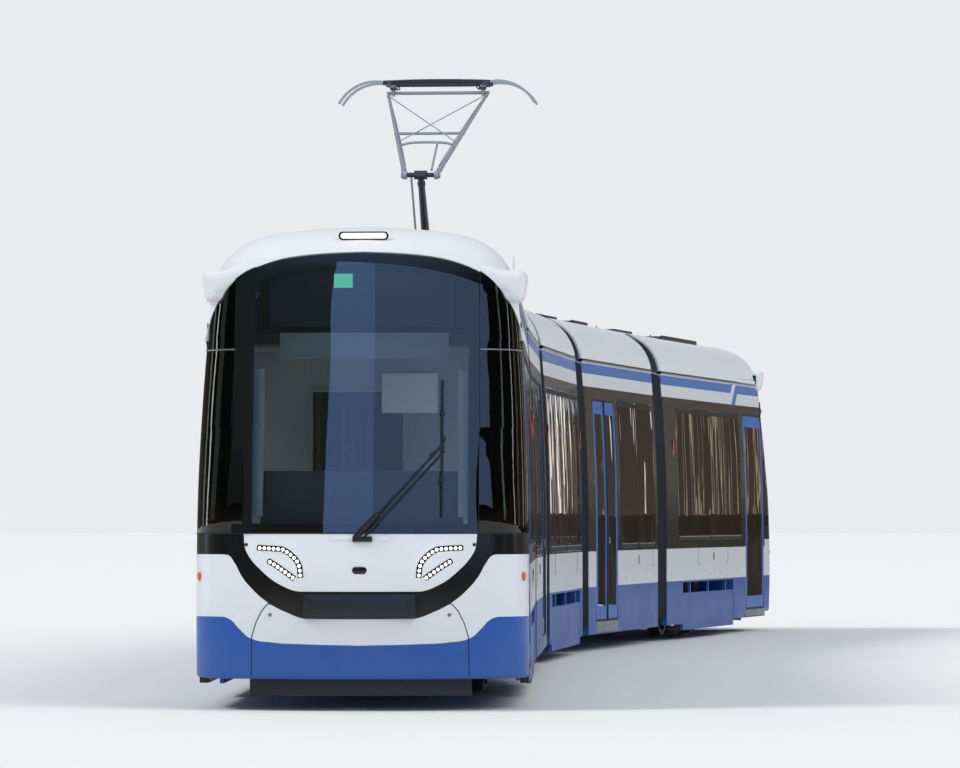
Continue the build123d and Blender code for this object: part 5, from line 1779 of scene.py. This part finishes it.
def studio_floor():
    """Plain pale floor, at the flanges' lowest point."""
    bpy.ops.object.select_all(action="DESELECT")
    bpy.ops.mesh.primitive_plane_add(size=900, location=(0, 0, -0.0285))
    ground = bpy.context.object
    ground.name = "studio_floor"
    material, tree, shader, coords = start("pale_studio_floor", Base_Color=linear("#EAE9E6"), Roughness=0.8)
    surface_grain(tree, shader, coords, 3.0, 0.001)
    ground.data.materials.append(material)


def softbox(name, corners, code, strength):
    """A wide light panel that only shows in glass and gloss."""
    panel = mesh_piece(name, corners, [(0, 1, 2, 3)])
    material = bpy.data.materials.new(name)
    material.use_nodes = True
    tree = material.node_tree
    glow = add(tree, "ShaderNodeEmission", {"Color": linear(code), "Strength": strength})
    tree.links.new(glow.outputs[0], tree.nodes["Material Output"].inputs["Surface"])
    panel.data.materials.append(material)
    panel.visible_camera = False
    panel.visible_diffuse = False
    panel.visible_shadow = False
    panel.visible_transmission = False


# Panels of sky behind the camera. Columns: left, right, colour, strength
SKY_Y = -140
SKY_LOW = 42
SKY_HIGH = 150
SKY_PANELS = ((-21.8, 16, "#7FA6E4", 4.6), (16, 200, "#86A8DC", 3.0), (-200, -21.8, "#7C8A86", 0.7))

# What gloss and glass mirror, from straight down to straight up. Columns: share of the way up, colour
SURROUND = (
    (0.0, "#B5B2AC"), (0.49, "#B5B2AC"), (0.5, "#5E554C"), (0.57, "#4B443E"), (0.63, "#2E332C"), (0.8, "#3A423C"),
    (0.9, "#8FA6C8"), (1.0, "#B4C6E2"),
)

# Upright panels round the set that gloss and glass mirror. Columns: start and end in degrees from +Y towards +X,
# lowest and highest point in metres, colour, strength
STREET_RADIUS = 150
STREET = (
    (3.0, 3.8, 0, 26, "#C9B79E", 1.3), (5.6, 6.1, 0, 30, "#E6E2DA", 2.0), (9.0, 10.2, 0, 22, "#B59A7C", 0.9),
    (13.1, 13.5, 0, 34, "#F0ECE4", 1.8), (16.2, 16.6, 2, 24, "#C8B296", 1.2), (19.6, 20.0, 0, 30, "#EDE9E2", 1.8),
    (23.0, 24.4, 4, 20, "#A98D70", 0.8), (30.0, 31.0, 0, 34, "#E9E6E0", 1.6), (42.0, 44.0, 0, 30, "#E2DED6", 2.0),
    (58.0, 64.0, 0, 70, "#8F8272", 1.6), (74.0, 76.5, 0, 90, "#E8ECF0", 4.0), (99.0, 103.0, 6, 90, "#C4CDD6", 2.0),
    (-66.0, -60.0, 0, 70, "#A9AFA9", 1.8), (-80.0, -76.0, 0, 60, "#E8ECF0", 5.0),
    (-102.0, -90.0, 6, 90, "#8C968F", 1.2),
)

# Suns. Columns: name, direction that the light comes from, strength, softness in degrees
SUNS = (
    ("key", (-0.95, -0.35, 1.0), 1.6, 18), ("side", (0.9, -0.5, 0.9), 1.2, 40), ("front", (0.0, -1.0, 0.3), 0.25, 60),
    ("back", (-0.3, 0.9, 0.8), 0.5, 60),
)


def upright(low, high, *feet):
    """Corners of an upright panel over two (x, y) points."""
    (x0, y0), (x1, y1) = feet
    return (x0, y0, low), (x1, y1, low), (x1, y1, high), (x0, y0, high)


def reflections():
    for left, right, code, strength in SKY_PANELS:
        softbox("sky_softbox", upright(SKY_LOW, SKY_HIGH, (left, SKY_Y), (right, SKY_Y)), code, strength)
    softbox("low_wall", upright(-0.02, 1.5, (2, 32), (70, 26)), "#433A32", 1.0)
    for start_at, stop_at, low, high, code, strength in STREET:
        feet = [
            (STREET_RADIUS * sin(radians(angle)), STREET_RADIUS * cos(radians(angle))) for angle in (start_at, stop_at)
        ]
        softbox("street_panel", upright(low, high, *feet), code, strength)


def world_light():
    """Soft even light, a plain backdrop for the camera and the surroundings for what mirrors them."""
    world = bpy.data.worlds.new("studio")
    bpy.context.scene.world = world
    world.use_nodes = True
    tree = world.node_tree
    fill = tree.nodes["Background"]
    fill.inputs["Color"].default_value = linear("#DCE6F2")
    fill.inputs["Strength"].default_value = 0.55
    backdrop = add(tree, "ShaderNodeBackground", {"Color": linear("#E9ECEF"), "Strength": 1.0}).outputs[0]
    direction = add(tree, "ShaderNodeTexCoord").outputs["Generated"]
    height = add(tree, "ShaderNodeSeparateXYZ", {"Vector": direction}).outputs["Z"]
    share = add(tree, "ShaderNodeMapRange", {"Value": height, "From Min": -1.0, "From Max": 1.0}).outputs[0]
    ramp = add(tree, "ShaderNodeValToRGB", {"Fac": share})
    stops = ramp.color_ramp.elements
    while len(stops) < len(SURROUND):
        stops.new(0.5)
    for stop, (place, code) in zip(stops, SURROUND):
        stop.position = place
        stop.color = linear(code)
    surround = add(tree, "ShaderNodeBackground", {"Color": ramp.outputs[0], "Strength": 1.0}).outputs[0]
    path = add(tree, "ShaderNodeLightPath").outputs
    seen = sums(tree, "MAXIMUM", path["Is Camera Ray"], path["Is Transmission Ray"])
    plain = add(tree, "ShaderNodeMixShader", {0: seen, 1: fill.outputs[0], 2: backdrop}).outputs[0]
    mix = add(tree, "ShaderNodeMixShader", {0: path["Is Glossy Ray"], 1: plain, 2: surround})
    tree.links.new(mix.outputs[0], tree.nodes["World Output"].inputs["Surface"])


def suns():
    for name, source, strength, softness in SUNS:
        data = bpy.data.lights.new(name, "SUN")
        data.energy = strength
        data.angle = radians(softness)
        lamp = placed(name, data)
        lamp.rotation_mode = "QUATERNION"
        lamp.rotation_quaternion = Vector(source).to_track_quat("Z", "Y")
        lamp.visible_glossy = False
        lamp.visible_transmission = False


camera()
studio_floor()
reflections()
world_light()
suns()
scene = bpy.context.scene
scene.view_settings.view_transform = "Standard"
